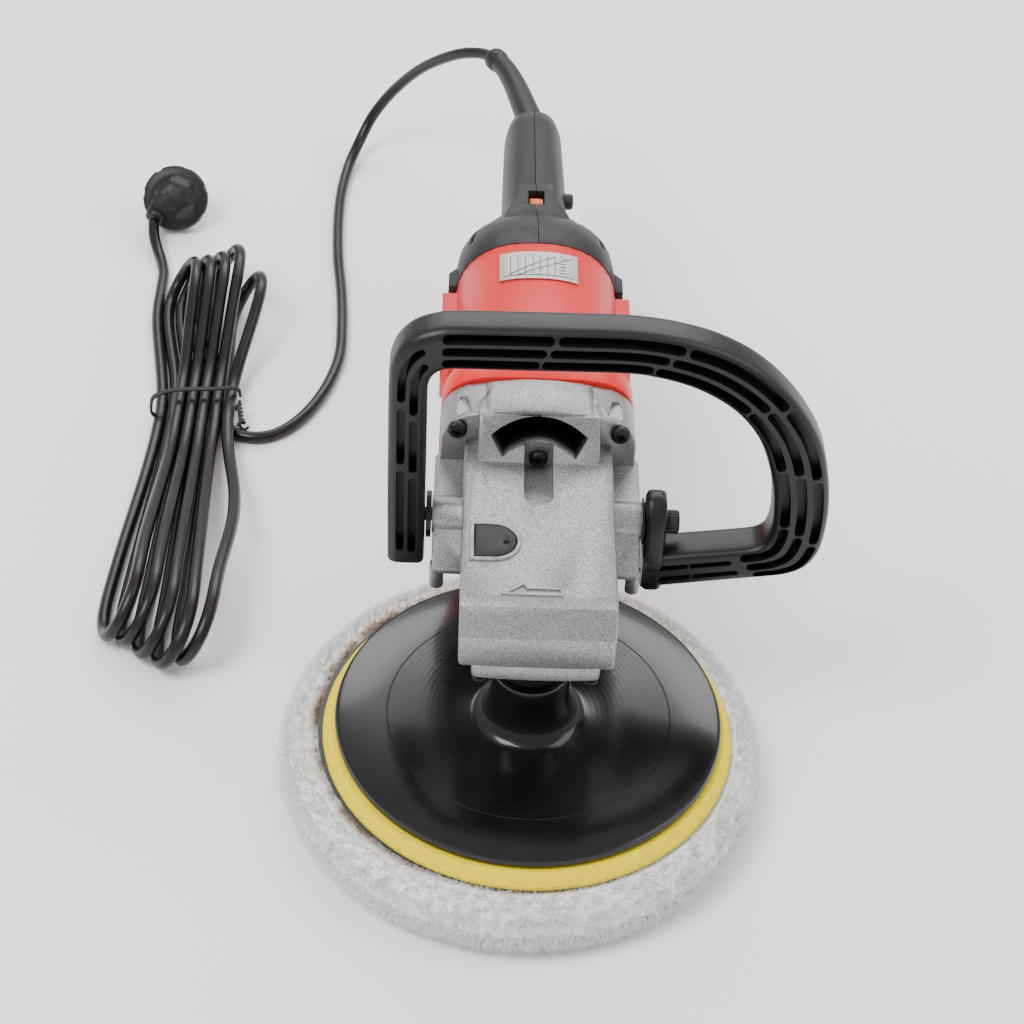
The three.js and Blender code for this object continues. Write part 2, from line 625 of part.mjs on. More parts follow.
function armatureParts() {
  add('pinion', pinion(), STEEL);
  add('armature_shaft', turned([
    [0, 27], [4, 27], [4, 60.4], [4.8, 60.4], [4.8, 176], [3.9, 176], [3.9, 195], [0, 195],
  ], 20, 'y').translate([0, 0, MOTOR_Z]), STEEL);
  add('armature_core', ring('y', 4.8 + GAP, 21, 118, 156, 0, MOTOR_Z, 32), STEEL);
  add('commutator', ring('y', 4.8 + GAP, 11.4, 166, 175.6 + 6, 0, MOTOR_Z, 24), COPPER);
  let fan = rod('y', 30.6, 88.4, 91, 0, MOTOR_Z, 32).add(rod('y', 9, 79, 91, 0, MOTOR_Z, 20));
  for (let k = 0; k < FAN_BLADES; k += 1) {
    const vane = box(8, 30, 79.4, 89, -0.8, 0.8).rotate([0, (k * 360) / FAN_BLADES, 0]);
    const blade = vane.translate([0, 0, MOTOR_Z]);
    fan = fan.add(blade);
  }
  add('cooling_fan', fan.subtract(rod('y', 4.8 + GAP, 70, 100, 0, MOTOR_Z, 20)), BLACK);
}

function motorParts() {
  add('motor_housing', motorHousing(), RED);
  add('stator_core', statorCore(), STEEL);
  add('field_coil_top', fieldCoil(Math.PI / 2), COPPER);
  add('field_coil_bottom', fieldCoil(-Math.PI / 2), COPPER);
  add('front_bearing', ring('y', 4.8 + GAP, 12.9, 61, 71, 0, MOTOR_Z), STEEL);
  add('rear_bearing', ring('y', 3.9 + GAP, 11, 184, 191, 0, MOTOR_Z), STEEL);
  for (const side of [-1, 1]) {
    const word = side > 0 ? 'right' : 'left';
    const span = (a, b) => [Math.min(side * a, side * b), Math.max(side * a, side * b)];
    const well = box(...span(15, 39), 171.7, 178.3, 106.7, 115.3);
    const holder = box(...span(16, 41), 169, 181, 103.5, 118.5).subtract(well);
    add(`brush_holder_${word}`, holder, BLACK);
    add(`carbon_brush_${word}`, box(...span(12, 30), 172, 178, 107, 115), CARBON);
  }
}

// The label is a thin patch over the crown of the motor housing.
function ratingLabel() {
  const sides = [
    [165, MOTOR_HW + 0.65, MOTOR_HH + 0.75, MOTOR_Z, MOTOR_N],
    [190, MOTOR_HW + 0.65, MOTOR_HH + 0.75, MOTOR_Z, MOTOR_N],
  ];
  const inner = sides.map(([y, w, h, z, n], i) => [i ? y + 1 : y - 1, w - 0.3, h - 0.3, z, n]);
  return loft(sides, 64).subtract(loft(inner, 64)).intersect(box(-18, 18, 169, 189.5, 130, 155));
}

// ---- rear cover with the grip ----
const GRIP = [
  [MOTOR_END + GAP, 38.2, 37.2, 111, MOTOR_N],
  [212, 38.2, 36.2, 110.8, MOTOR_N],
  [223, 37.4, 33.6, 110, MOTOR_N],
  [232, 35.2, 30, 109, MOTOR_N],
  [240, 31.8, 26.6, 107.8, 2.3],
  [248, 27, 24.6, 106.6, 2.3],
  [255, 21.6, 23.6, 105.6, 2.3],
  [261, 17.8, 23, 105, 2.4],
  [270, 16.3, 22.6, 104.6, 2.5],
  [310, 15.8, 21.6, 101.6, 2.5],
  [350, 14.9, 20, 98.2, 2.5],
  [361, 13.4, 18, 97.4, 2.4],
  [366, 11, 14.6, 97.2, 2.2],
];

function gripShell() {
  const inner = GRIP.map(([y, a, b, z, n], i) => {
    const end = i === 0 ? -1 : 0;
    return [y + end - (i === GRIP.length - 1 ? GRIP_WALL : 0), a - GRIP_WALL, b - GRIP_WALL, z, n];
  });
  let shell = loft(GRIP);
  shell = shell.add(dialHump());
  for (const side of [-1, 1]) {
    const ledge = prismZ(outline([
      [side * 30, MOTOR_END + GAP], [side * 41.2, MOTOR_END + GAP], [side * 41.2, 208], [side * 36, 214],
      [side * 30, 214],
    ]), 94.5, 121.5, 1);
    shell = shell.add(ledge);
  }
  shell = shell.subtract(loft(inner));
  shell = shell.subtract(box(-3.9, 3.9, 250.8, 263.4, 112, 140));
  shell = shell.subtract(rod('x', 11.5, -3.9, 3.9, DIAL_Y, DIAL_Z, 24));
  shell = shell.subtract(box(-7.6, 7.6, 271, 326, 60, 95));
  shell = shell.subtract(rod('y', 8.2, 340, 372, 0, 97.2, 24));
  shell = shell.subtract(rod('x', 4.4, 8, 24, 284, 112, 20));
  return shell.subtract(ventSlots());
}

function dialHump() {
  const shape = outline([
    [233, 118], [234, 131.6], [236.4, 133.4], [250, 133], [264, 132], [276, 127.6], [280, 124], [280, 112],
  ]);
  const flare = outline([
    [-15.4, 232], [15.4, 232], [15.4, 241], [8.6, 259], [8, 282], [-8, 282], [-8.6, 259], [-15.4, 241],
  ]);
  return prismX(shape, -16, 16).intersect(prismZ(flare, 110, 140, 1));
}

// Cooling slots: four slanted ones on each shoulder and a row along each flank.
function ventSlots() {
  let slots = null;
  for (const side of [-1, 1]) {
    for (let k = 0; k < 4; k += 1) {
      const angle = THREE.MathUtils.degToRad(38 - 27 * k);
      const z = 111 + 34 * Math.sin(angle);
      const turn = -side * THREE.MathUtils.radToDeg(angle);
      const slot = box(-14, 14, 214, 234, -1.6, 1.6).rotate([0, turn, 0]);
      const placed = slot.translate([side * 36 * Math.cos(angle), 0, z]);
      slots = slots ? slots.add(placed) : placed;
    }
  }
  return slots;
}

function rearCover() {
  const shell = gripShell();
  add('rear_cover_left', shell.intersect(box(-60, -0.15, 190, 370, 50, 150)), BLACK);
  add('rear_cover_right', shell.intersect(box(0.15, 60, 190, 370, 50, 150)), BLACK);
}

function gripParts() {
  rearCover();
  add('speed_dial', speedDial(), ORANGE);
  add('speed_module', box(-9, 9, 240, 268, 90, 106), BLACK);
  add('switch_body', box(-5.8, 5.8, 276, 322, 96, 112), BLACK);
  add('trigger', prismX(outline([
    [273, 89.4], [272.4, 80], [276, 75.5], [296, 72.4], [314, 73], [324, 78], [324.6, 84], [322, 89],
  ]), -7, 7, 1.2), BLACK);
  add('lock_on_button', turned([
    [0, 9.4], [4, 9.4], [4, 18.4], [3.2, 19.4], [0, 19.4],
  ], 20).rotate([0, 90, 0]).translate([0, 284, 112]), BLACK);
  add('rating_label', ratingLabel(), LABEL);
}

// Thumbwheel about X with a ribbed rim.
function speedDial() {
  const shape = new THREE.Shape();
  const ribs = 24;
  for (let k = 0; k < 2 * ribs; k += 1) {
    const angle = (k / (2 * ribs)) * 2 * Math.PI;
    const r = k % 2 ? 10.2 : 10.9;
    shape[k ? 'lineTo' : 'moveTo'](DIAL_Y + r * Math.cos(angle), DIAL_Z + r * Math.sin(angle));
  }
  return prismX(shape, -3.2, 3.2);
}

// ---- loop handle ----
function loopShape() {
  const shape = new THREE.Shape();
  shape.moveTo(-63, 98);
  shape.lineTo(-63.4, 194);
  shape.bezierCurveTo(-63.4, 212, -54, 221.6, -38, 222);
  shape.lineTo(34, 223);
  shape.bezierCurveTo(76, 222.5, 104, 199, 115.5, 168);
  shape.bezierCurveTo(121.5, 151, 124, 128, 121, 112);
  shape.quadraticCurveTo(117.5, 98, 104, 95.6);
  shape.lineTo(46, 85.6);
  shape.lineTo(45.6, 129);
  shape.lineTo(54.6, 129);
  shape.lineTo(55.2, 105.4);
  shape.lineTo(89, 110.6);
  shape.quadraticCurveTo(97.4, 112.6, 98.4, 122);
  shape.bezierCurveTo(99.4, 141, 94, 163, 83, 179);
  shape.bezierCurveTo(72, 194, 54, 202.6, 34, 202.8);
  shape.lineTo(-38, 202.2);
  shape.quadraticCurveTo(-47.6, 202, -47.6, 191);
  shape.lineTo(-47.4, 98);
  return shape;
}

// The grip's centre line, from the foot of the left leg round to the lug, as a curve in X and Z.
const LOOP_LINE = new THREE.CatmullRomCurve3([
  [-55.2, 104], [-55.4, 150], [-55.4, 190], [-50.5, 205], [-37, 212], [0, 212.6], [34, 212.8],
  [66, 205.6], [92, 185], [105.6, 158], [110.4, 130], [109.4, 112],
].map(([x, z]) => new THREE.Vector3(x, 0, z)), false, 'centripetal');

// A round-ended groove along the grip line between two fractions of it, offset outwards.
function grooveCutter(from, to, offset, width) {
  const steps = Math.max(2, Math.round((to - from) * 36));
  const sides = [[], []];
  for (let k = 0; k <= steps; k += 1) {
    const t = from + ((to - from) * k) / steps;
    const p = LOOP_LINE.getPointAt(t);
    const d = LOOP_LINE.getTangentAt(t);
    sides[0].push([p.x - d.z * (offset + width / 2), p.z + d.x * (offset + width / 2)]);
    sides[1].unshift([p.x - d.z * (offset - width / 2), p.z + d.x * (offset - width / 2)]);
  }
  return prismY(outline([...sides[0], ...sides[1]]), LOOP_Y - 1, LOOP_Y + 6);
}

function loopHandle() {
  let solid = prismY(loopShape(), LOOP_Y, LOOP_Y + LOOP_DEPTH, 2.6, 7);
  solid = solid.add(rod('x', 12.4, 45.6, 54.4, BOLT_Y, BOLT_Z + 2, 28));
  for (const { spans, offsets, width } of [LEG_GROOVES, BAR_GROOVES]) {
    for (const [from, to] of spans) {
      for (const offset of offsets) solid = solid.subtract(grooveCutter(from, to, offset, width));
    }
  }
  for (const [x, z] of [[70, 96.2], [71, 103.2], [92.5, 100.6], [93.5, 107.2]]) {
    const bar = box(-9, 9, LOOP_Y - 1, LOOP_Y + 6, -1.5, 1.5);
    const groove = bar.rotate([0, -11, 0]).translate([x, 0, z - 0.6]);
    solid = solid.subtract(groove);
  }
  solid = solid.subtract(rod('x', 3.4, 40, 60, BOLT_Y, BOLT_Z, 20));
  solid = solid.subtract(rod('x', 7.6, 54.4, 62, BOLT_Y, BOLT_Z, 24));
  solid = solid.subtract(rod('x', 3.4, -70, -40, BOLT_Y, BOLT_Z, 20));
  return solid.subtract(rod('x', 6, -70, -56.4, BOLT_Y, BOLT_Z, 24));
}

function handleParts() {
  add('loop_handle', loopHandle(), BLACK);
  add('handle_bolt_right', handleBolt(54.4 + GAP, 17.5), BLACK_STEEL);
  add('handle_bolt_left', mirrored(handleBolt(56.4 + GAP, 19.5)), BLACK_STEEL);
  add('handle_spacer_right', spacer(EAR_X + GAP, 45.3), RUBBER);
  add('handle_spacer_left', mirrored(spacer(EAR_X + GAP, 47)), RUBBER);
}

// A bolt or spacer turned about the bolt line's height, to the other side.
function mirrored(solid) {
  return solid.rotate([0, 180, 0]).translate([0, 0, 2 * BOLT_Z]);
}

function handleBolt(seat, shank) {
  const head = rod('x', 5, seat, seat + 6, BOLT_Y, BOLT_Z, 24);
  const bolt = head.add(rod('x', 3, seat - shank, seat, BOLT_Y, BOLT_Z, 16));
  return bolt.subtract(rod('x', 2.6, seat + 3, seat + 7, BOLT_Y, BOLT_Z, 6));
}

function spacer(x0, x1) {
  return ring('x', 3.4, 10, x0, x1, BOLT_Y, BOLT_Z, 16);
}

// ---- mains lead ----
function curveThrough(points) {
  const places = points.map(([x, y, z]) => new THREE.Vector3(x, y, z));
  return new THREE.CatmullRomCurve3(places, false, 'centripetal');
}

const BOOT_LINE = curveThrough([
  [0, 341, 97], [0, 364, 97.4], [-1.2, 378, 98], [-4.6, 393, 98.4], [-9.4, 413, 98.4], [-14.8, 430, 98.2],
  [-21, 442.4, 97.4],
]);

const LEAD_POINTS = [
  [-21.5, 443.4, 97.2], [-28.4, 451.6, 94.2], [-38.6, 461, 88], [-50, 471.4, 77.6], [-62, 482.4, 64],
  [-72.4, 490.6, 49.6],
  [-82.4, 495, 35], [-91, 494.4, 21.4], [-97.2, 486, 11], [-102.2, 471.6, 5.4], [-105.2, 450, CORD_R + 0.1],
  [-106, 425, CORD_R], [-104.2, 383, CORD_R], [-100.2, 346, CORD_R], [-98.2, 315, CORD_R],
  [-98.4, 289, CORD_R],
  [-105, 260, CORD_R], [-116, 237, CORD_R], [-129.6, 223.4, CORD_R], [-146.6, 220, CORD_R],
];

const TAIL_POINTS = [
  [-208.3, 397.1, 10.8], [-207.7, 390.4, 8.3], [-205.2, 381.6, 5], [-202, 372.6, CORD_R + 0.1],
  [-199.2, 362, CORD_R],
];

function cordTube(points, steps, sides = 10) {
  const section = new THREE.Shape();
  section.absarc(0, 0, CORD_R, 0, 2 * Math.PI);
  return new THREE.ExtrudeGeometry(section, {
    steps, curveSegments: sides / 2, extrudePath: curveThrough(points), bevelEnabled: false,
  });
}

function hank() {
  const shape = new THREE.Shape();
  shape.moveTo(HANK_REAR[0] + HANK_REAR_R, HANK_REAR[1]);
  shape.absarc(...HANK_REAR, HANK_REAR_R, 0, Math.PI);
  shape.lineTo(WAIST[0], TIE_Y + 6);
  shape.lineTo(WAIST[0], TIE_Y - 6);
  shape.lineTo(HANK_FRONT[0] - HANK_FRONT_R, HANK_FRONT[1]);
  shape.absarc(...HANK_FRONT, HANK_FRONT_R, Math.PI, 2 * Math.PI);
  shape.lineTo(WAIST[1], TIE_Y - 6);
  shape.lineTo(WAIST[1], TIE_Y + 6);
  return prismZ(shape, 0, HANK_TOP, 2, 8);
}

function cordTie() {
  const arch = (grow, top) => {
    const [x0, x1] = [WAIST[0] - grow, WAIST[1] + grow];
    const crown = [[x1, top - 1.4], [x1 - 1.4, top], [x0 + 1.4, top], [x0, top - 1.4]];
    return outline([[x0, 0.4], [x1, 0.4], ...crown]);
  };
  const outer = prismY(arch(1.9, HANK_TOP + 1.9), TIE_Y - 1.4, TIE_Y + 1.4);
  const floor = box(WAIST[0] - 0.5, WAIST[1] + 0.5, TIE_Y - 3, TIE_Y + 3, -1, 1);
  return outer.subtract(prismY(arch(0.5, HANK_TOP + 0.5), TIE_Y - 3, TIE_Y + 3).add(floor));
}

// The plug leans back so that it rests on its rear edge and its pins.
function onPlug(solid) {
  return solid.rotate([-PLUG_TILT, 0, 0]).translate(PLUG_AT);
}

function plugParts() {
  const disc = turned([
    [0, -6], [9.4, -5.6], [12, -4], [13, -1.6], [PLUG_R - 1.4, -1.6], [PLUG_R, -0.2], [PLUG_R, 4.6],
    [PLUG_R - 1, 5.8], [15.4, 6], [15, 9.4], [14.4, 10], [0, 10],
  ], 28, 'y');
  const bend = curveThrough([[-208.1, 398.4, 11.3], [-207, 402, 12.8], [-203, 405.6, 17], [-198, 407.5, 20]]);
  const neck = taperedBar(bend, [[0, 5.4], [0.35, 6.6], [1, 8.4]], 6, 14);
  let plug = onPlug(disc).add(toSolid(neck));
  for (const [word, x] of [['left', -PIN_X], ['right', PIN_X]]) {
    plug = plug.subtract(onPlug(rod('y', PIN_R + GAP, 4, 12, x, 0, 14)));
    add(`plug_pin_${word}`, onPlug(rod('y', PIN_R, 4 + GAP, 29, x, 0, 14)), STEEL);
  }
  add('plug_body', plug, RUBBER);
}

function leadParts() {
  const radii = [[0, 7.6], [0.2, 7.4], [0.55, 6.6], [0.93, 5.4], [0.94, 6.3], [1, 6.3]];
  add('cord_boot', taperedBar(BOOT_LINE, radii, 16, 12), RUBBER);
  add('cord_lead', cordTube(LEAD_POINTS, 40, 8), RUBBER);
  add('cord_hank', hank(), RUBBER);
  add('cord_tail', cordTube(TAIL_POINTS, 6, 8), RUBBER);
  add('cord_tie', cordTie(), BLACK_STEEL);
  plugParts();
}

padStack();
spindleParts();
add('gear_housing', gearHousing(), CAST);
add('bearing_cover', bearingCover(), CAST);
headScrews();
spindleLock();
motorParts();
armatureParts();
gripParts();
handleParts();
leadParts();

export default group;
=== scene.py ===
# Rotary polisher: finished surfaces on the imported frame. Metres, +Z up, origin under the spindle.
import json
import math

import bmesh
import bpy
import numpy as np
from mathutils import Matrix, Vector


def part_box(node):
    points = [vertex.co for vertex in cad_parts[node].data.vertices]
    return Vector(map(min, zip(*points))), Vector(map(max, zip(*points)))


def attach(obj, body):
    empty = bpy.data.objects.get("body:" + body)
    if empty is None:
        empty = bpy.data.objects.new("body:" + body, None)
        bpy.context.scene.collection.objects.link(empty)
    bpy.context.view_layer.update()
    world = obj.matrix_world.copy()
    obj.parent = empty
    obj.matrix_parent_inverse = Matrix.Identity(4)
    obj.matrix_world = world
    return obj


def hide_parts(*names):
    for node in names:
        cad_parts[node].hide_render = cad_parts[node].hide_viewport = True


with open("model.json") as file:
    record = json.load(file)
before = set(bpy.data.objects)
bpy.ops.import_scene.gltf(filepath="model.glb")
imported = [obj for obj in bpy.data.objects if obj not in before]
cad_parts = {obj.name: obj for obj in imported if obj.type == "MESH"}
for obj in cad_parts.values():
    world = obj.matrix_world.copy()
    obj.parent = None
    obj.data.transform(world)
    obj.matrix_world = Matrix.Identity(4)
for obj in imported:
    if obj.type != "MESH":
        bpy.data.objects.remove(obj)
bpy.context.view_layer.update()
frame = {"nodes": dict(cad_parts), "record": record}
NODES = frame["nodes"]
BODIES = frame["record"]["behaviour"]["bodies"]
BODY_OF = {node: body for body, members in BODIES.items() for node in members}
SLOT_OF = {part["node"]: part["material_slot"] for part in frame["record"]["subparts"]}
MM = 0.001

# ---- camera, floor and lights ----
CAMERA_ANGLES = (41.807, -2.042, 3.333)
CAMERA_TARGET = (-0.005939, 0.175184, 0.0)
CAMERA_DISTANCE = 1.2
CAMERA_LENS = 84.8


def placed(name, data):
    """A new object that holds some data, in the scene."""
    made = bpy.data.objects.new(name, data)
    bpy.context.scene.collection.objects.link(made)
    return made


def view_axes(elevation, azimuth, roll):
    """Right, up and back of a camera that looks down at an elevation from an azimuth, then rolls about
    its line."""
    e, a, t = np.radians([elevation, azimuth, roll])
    back = np.array([math.sin(a) * math.cos(e), -math.cos(a) * math.cos(e), math.sin(e)])
    right = np.cross(-back, [0.0, 0.0, 1.0])
    right /= np.linalg.norm(right)
    up = np.cross(right, -back)
    return right * math.cos(t) + up * math.sin(t), up * math.cos(t) - right * math.sin(t), back


def set_camera():
    right, up, back = view_axes(*CAMERA_ANGLES)
    place = np.array(CAMERA_TARGET) + CAMERA_DISTANCE * back
    data = bpy.data.cameras.new("camera")
    data.sensor_width = 36.0
    data.lens = CAMERA_LENS
    data.clip_end = 20.0
    camera = placed("camera", data)
    columns = [list(right), list(up), list(back)]
    camera.matrix_world = Matrix.Translation(Vector(place)) @ Matrix(columns).transposed().to_4x4()
    bpy.context.scene.camera = camera


def area_light(name, place, target, size, power):
    data = bpy.data.lights.new(name, "AREA")
    data.shape = "RECTANGLE"
    data.size, data.size_y = size
    data.energy = power
    lamp = placed(name, data)
    lamp.location = place
    lamp.rotation_euler = (Vector(target) - Vector(place)).to_track_quat("-Z", "Y").to_euler()


def set_studio():
    world = bpy.data.worlds.new("studio")
    world.use_nodes = True
    background = world.node_tree.nodes["Background"]
    background.inputs["Color"].default_value = (1.0, 1.0, 1.0, 1.0)
    background.inputs["Strength"].default_value = 0.85
    bpy.context.scene.world = world
    area_light("key", (-0.9, -0.5, 1.7), (0.0, 0.1, 0.05), (0.9, 0.9), 34.0)
    area_light("fill", (1.2, 0.1, 1.3), (0.0, 0.1, 0.05), (0.9, 1.4), 12.0)
    area_light("back", (0.1, 1.5, 1.2), (0.0, 0.15, 0.1), (1.6, 0.5), 18.0)
    low, high = -2.5, 3.0
    mesh = bpy.data.meshes.new("floor")
    corners = [(low, low, 0), (high, low, 0), (high, high, 0), (low, high, 0)]
    mesh.from_pydata(corners, [], [(0, 1, 2, 3)])
    floor = placed("floor", mesh)
    floor.data.materials.append(floor_paper())


# ---- shader groups ----


def new_group(name, inputs, outputs):
    """A shader node group with the named sockets; inputs are (name, kind, value), outputs are (name,
    kind)."""
    group = bpy.data.node_groups.new(name, "ShaderNodeTree")
    for label, kind, value in inputs:
        socket = group.interface.new_socket(label, in_out="INPUT", socket_type="NodeSocket" + kind)
        if value is not None:
            socket.default_value = value
    for label, kind in outputs:
        group.interface.new_socket(label, in_out="OUTPUT", socket_type="NodeSocket" + kind)
    given, out = group.nodes.new("NodeGroupInput"), group.nodes.new("NodeGroupOutput")
    return group, given.outputs, out.inputs


def feed(tree, socket, value):
    """Gives an input socket another node's output, a number, a vector or a colour."""
    if isinstance(value, bpy.types.NodeSocket):
        tree.links.new(value, socket)
    elif socket.type == "RGBA":
        socket.default_value = (*value, 1.0)[:4]
    else:
        socket.default_value = value


def node(tree, kind, inputs=None, **settings):
    made = tree.nodes.new("ShaderNode" + kind)
    for key, value in settings.items():
        setattr(made, key, value)
    for key, value in (inputs or {}).items():
        feed(tree, made.inputs[key], value)
    return made


def maths(tree, operation, *terms, clamp=False):
    return node(tree, "Math", dict(enumerate(terms)), operation=operation, use_clamp=clamp).outputs[0]


def noise(tree, vector, scale, detail=3.0, roughness=0.55):
    inputs = {"Scale": scale, "Detail": detail, "Roughness": roughness, "Vector": vector}
    return node(tree, "TexNoise", inputs).outputs["Fac"]


def ramp(tree, value, low, high):
    inputs = {"Value": value, "From Min": low, "From Max": high}
    return node(tree, "MapRange", inputs, clamp=True).outputs["Result"]


def mix_colour(tree, mask, first, second):
    inputs = {0: mask, 6: first, 7: second}
    return node(tree, "Mix", inputs, data_type="RGBA", blend_type="MIX").outputs[2]


def distance(tree, where, mask, shift):
    """Length of a position once its axes are masked and a shift is added."""
    flat = node(tree, "VectorMath", {0: where, 1: mask, 2: shift}, operation="MULTIPLY_ADD")
    return node(tree, "VectorMath", {0: flat.outputs[0]}, operation="LENGTH").outputs["Value"]


def grain_group():
    """Fine surface grain: coarse plus fine noise as a height, and the same as a mask for colour."""
    group, given, out = new_group("grain", [("Vector", "Vector", None), ("Scale", "Float", 1500.0),
                                            ("Coarse", "Float", 0.4)],
                                  [("Height", "Float"), ("Mask", "Float")])
    fine = noise(group, given["Vector"], given["Scale"], 4.0, 0.6)
    broad = maths(group, "MULTIPLY", given["Scale"], 0.31)
    wide = noise(group, given["Vector"], broad, 2.0)
    both = maths(group, "MULTIPLY_ADD", wide, given["Coarse"], fine)
    group.links.new(both, out["Height"])
    group.links.new(ramp(group, fine, 0.35, 0.65), out["Mask"])
    return group


def mottle_group():
    """Two colours mixed by broad soft noise, for uneven dye, haze or handling marks."""
    group, given, out = new_group("mottle", [
        ("Vector", "Vector", None), ("Scale", "Float", 40.0), ("Amount", "Float", 0.5),
        ("First", "Color", (1, 1, 1, 1)), ("Second", "Color", (0, 0, 0, 1))],
        [("Color", "Color"), ("Mask", "Float")])
    field = noise(group, given["Vector"], given["Scale"], 5.0, 0.6)
    mask = maths(group, "MULTIPLY", ramp(group, field, 0.38, 0.66), given["Amount"])
    mixed = mix_colour(group, mask, given["First"], given["Second"])
    group.links.new(mixed, out["Color"])
    group.links.new(mask, out["Mask"])
    return group


def dust_group():
    """Dust that settles on faces that look up, broken up by noise, and sparse specks."""
    group, given, out = new_group("dust", [("Vector", "Vector", None), ("Scale", "Float", 300.0),
                                           ("Amount", "Float", 0.3)], [("Mask", "Float")])
    facing = node(group, "NewGeometry")
    split = node(group, "SeparateXYZ", {0: facing.outputs["Normal"]}).outputs
    up = ramp(group, split["Z"], 0.2, 1.0)
    broad = maths(group, "MULTIPLY", given["Scale"], 0.08)
    cloud = ramp(group, noise(group, given["Vector"], broad, 4.0, 0.65), 0.42, 0.75)
    specks = ramp(group, noise(group, given["Vector"], given["Scale"], 1.0), 0.70, 0.78)
    both = maths(group, "MAXIMUM", maths(group, "MULTIPLY", cloud, 0.5), specks)
    mask = maths(group, "MULTIPLY", maths(group, "MULTIPLY", both, up), given["Amount"], clamp=True)
    group.links.new(mask, out["Mask"])
    return group


def scuff_group():
    """Long thin marks: noise stretched along one direction and cut at a threshold."""
    group, given, out = new_group("scuff", [("Vector", "Vector", None), ("Scale", "Float", 90.0),
                                            ("Amount", "Float", 0.5)], [("Mask", "Float")])
    turned = node(group, "Mapping", {"Rotation": (0.3, 0.5, 0.7), "Scale": (1.0, 14.0, 6.0),
                                     "Vector": given["Vector"]})
    field = noise(group, turned.outputs[0], given["Scale"], 3.0, 0.5)
    mask = maths(group, "MULTIPLY", ramp(group, field, 0.66, 0.72), given["Amount"])
    group.links.new(mask, out["Mask"])
    return group


GRAIN, MOTTLE, DUST, SCUFF = grain_group(), mottle_group(), dust_group(), scuff_group()

# ---- materials ----


class Finish:
    """A material with its Principled shader, Object coordinates and small helpers to wire the shared
    groups."""

    def __init__(self, name, coords="Object"):
        self.material = bpy.data.materials.new(name)
        self.material.use_nodes = True
        self.tree = self.material.node_tree
        self.shader = self.tree.nodes["Principled BSDF"]
        self.where = node(self.tree, "TexCoord").outputs[coords]
        self.heights = []

    def value(self, **values):
        for label, number in values.items():
            self.shader.inputs[label.replace("_", " ")].default_value = number
        return self

    def group(self, group, vector=None, **values):
        return node(self.tree, "Group", {"Vector": vector or self.where, **values}, node_tree=group).outputs

    def link(self, socket, label):
        self.tree.links.new(socket, self.shader.inputs[label])
        return self

    def bump(self, height, distance, strength=1.0):
        made = node(self.tree, "Bump", {"Strength": strength, "Distance": distance, "Height": height})
        if self.heights:
            self.tree.links.new(self.heights[-1], made.inputs["Normal"])
        self.heights.append(made.outputs["Normal"])
        self.link(made.outputs["Normal"], "Normal")
        return self


def floor_paper():
    finish = Finish("floor_paper").value(Roughness=0.9)
    tone = finish.group(MOTTLE, Scale=1.5, Amount=0.3, First=(0.97, 0.97, 0.97), Second=(0.95, 0.95, 0.955))
    return finish.link(tone["Color"], "Base Color").material


def plastic(name, colour, second, roughness, spread, grain_scale, grain_depth, dust=0.2, scuff=0.3,
            coat=0.0):
    """Moulded plastic: two close tones, fine grain as bump and in the roughness, dust on top and light
    scuffs."""
    finish = Finish(name).value(Coat_Weight=coat, Coat_Roughness=0.25, Specular_IOR_Level=0.36)
    tree = finish.tree
    tone = finish.group(MOTTLE, Scale=28.0, Amount=0.7, First=colour, Second=second)
    settled = finish.group(DUST, Scale=900.0, Amount=dust)
    marks = finish.group(SCUFF, Scale=60.0, Amount=scuff)
    pale = tuple(min(1.0, c * 0.6 + 0.08) for c in colour)
    dusty = mix_colour(tree, settled["Mask"], tone["Color"], pale)
    worn = mix_colour(tree, maths(tree, "MULTIPLY", marks["Mask"], 0.25), dusty, pale)
    grain = finish.group(GRAIN, Scale=grain_scale, Coarse=0.3)
    rough = maths(tree, "MULTIPLY_ADD", grain["Mask"], spread, roughness)
    rough = maths(tree, "MULTIPLY_ADD", settled["Mask"], 0.3, rough, clamp=True)
    finish.link(worn, "Base Color").link(rough, "Roughness")
    return finish.bump(grain["Height"], grain_depth).material


def metal(name, colour, second, roughness, grain_scale, grain_depth, brushed=False, dust=0.1):
    """Bare or blackened metal with turning marks or grain in the bump and an uneven roughness."""
    finish = Finish(name).value(Metallic=1.0)
    tree = finish.tree
    tone = finish.group(MOTTLE, Scale=60.0, Amount=0.6, First=colour, Second=second)
    settled = finish.group(DUST, Scale=900.0, Amount=dust)
    dusty = mix_colour(tree, settled["Mask"], tone["Color"], (0.35, 0.34, 0.33))
    finish.link(dusty, "Base Color")
    where = finish.where
    if brushed:
        where = node(tree, "Mapping", {"Scale": (1.0, 1.0, 12.0), "Vector": where}).outputs[0]
    grain = finish.group(GRAIN, vector=where, Scale=grain_scale, Coarse=0.4)
    finish.link(maths(tree, "MULTIPLY_ADD", grain["Mask"], 0.12, roughness), "Roughness")
    return finish.bump(grain["Height"], grain_depth).material


def vent_shade(tree, where):
    """Painted shade inside the arched vent: how deep a point lies behind the sloping neck, within the
    vent's ring, as a mask that darkens the walls there."""
    split = node(tree, "SeparateXYZ", {0: where}).outputs
    slope = maths(tree, "MULTIPLY_ADD", split["Z"], -0.823, 0.0498)
    deep = ramp(tree, maths(tree, "ADD", split["Y"], slope), 0.0008, 0.006)
    narrow = ramp(tree, maths(tree, "ABSOLUTE", split["X"]), 0.0235, 0.0225)
    reach = distance(tree, where, (1.0, 0.0, 1.0), (0.0, 0.0, -0.112))
    high = ramp(tree, reach, 0.0258, 0.0263)
    low = ramp(tree, split["Z"], 0.1478, 0.1470)
    front = ramp(tree, split["Y"], 0.0935, 0.0925)
    inside = deep
    for bound in (narrow, high, low, front):
        inside = maths(tree, "MULTIPLY", inside, bound)
    return inside


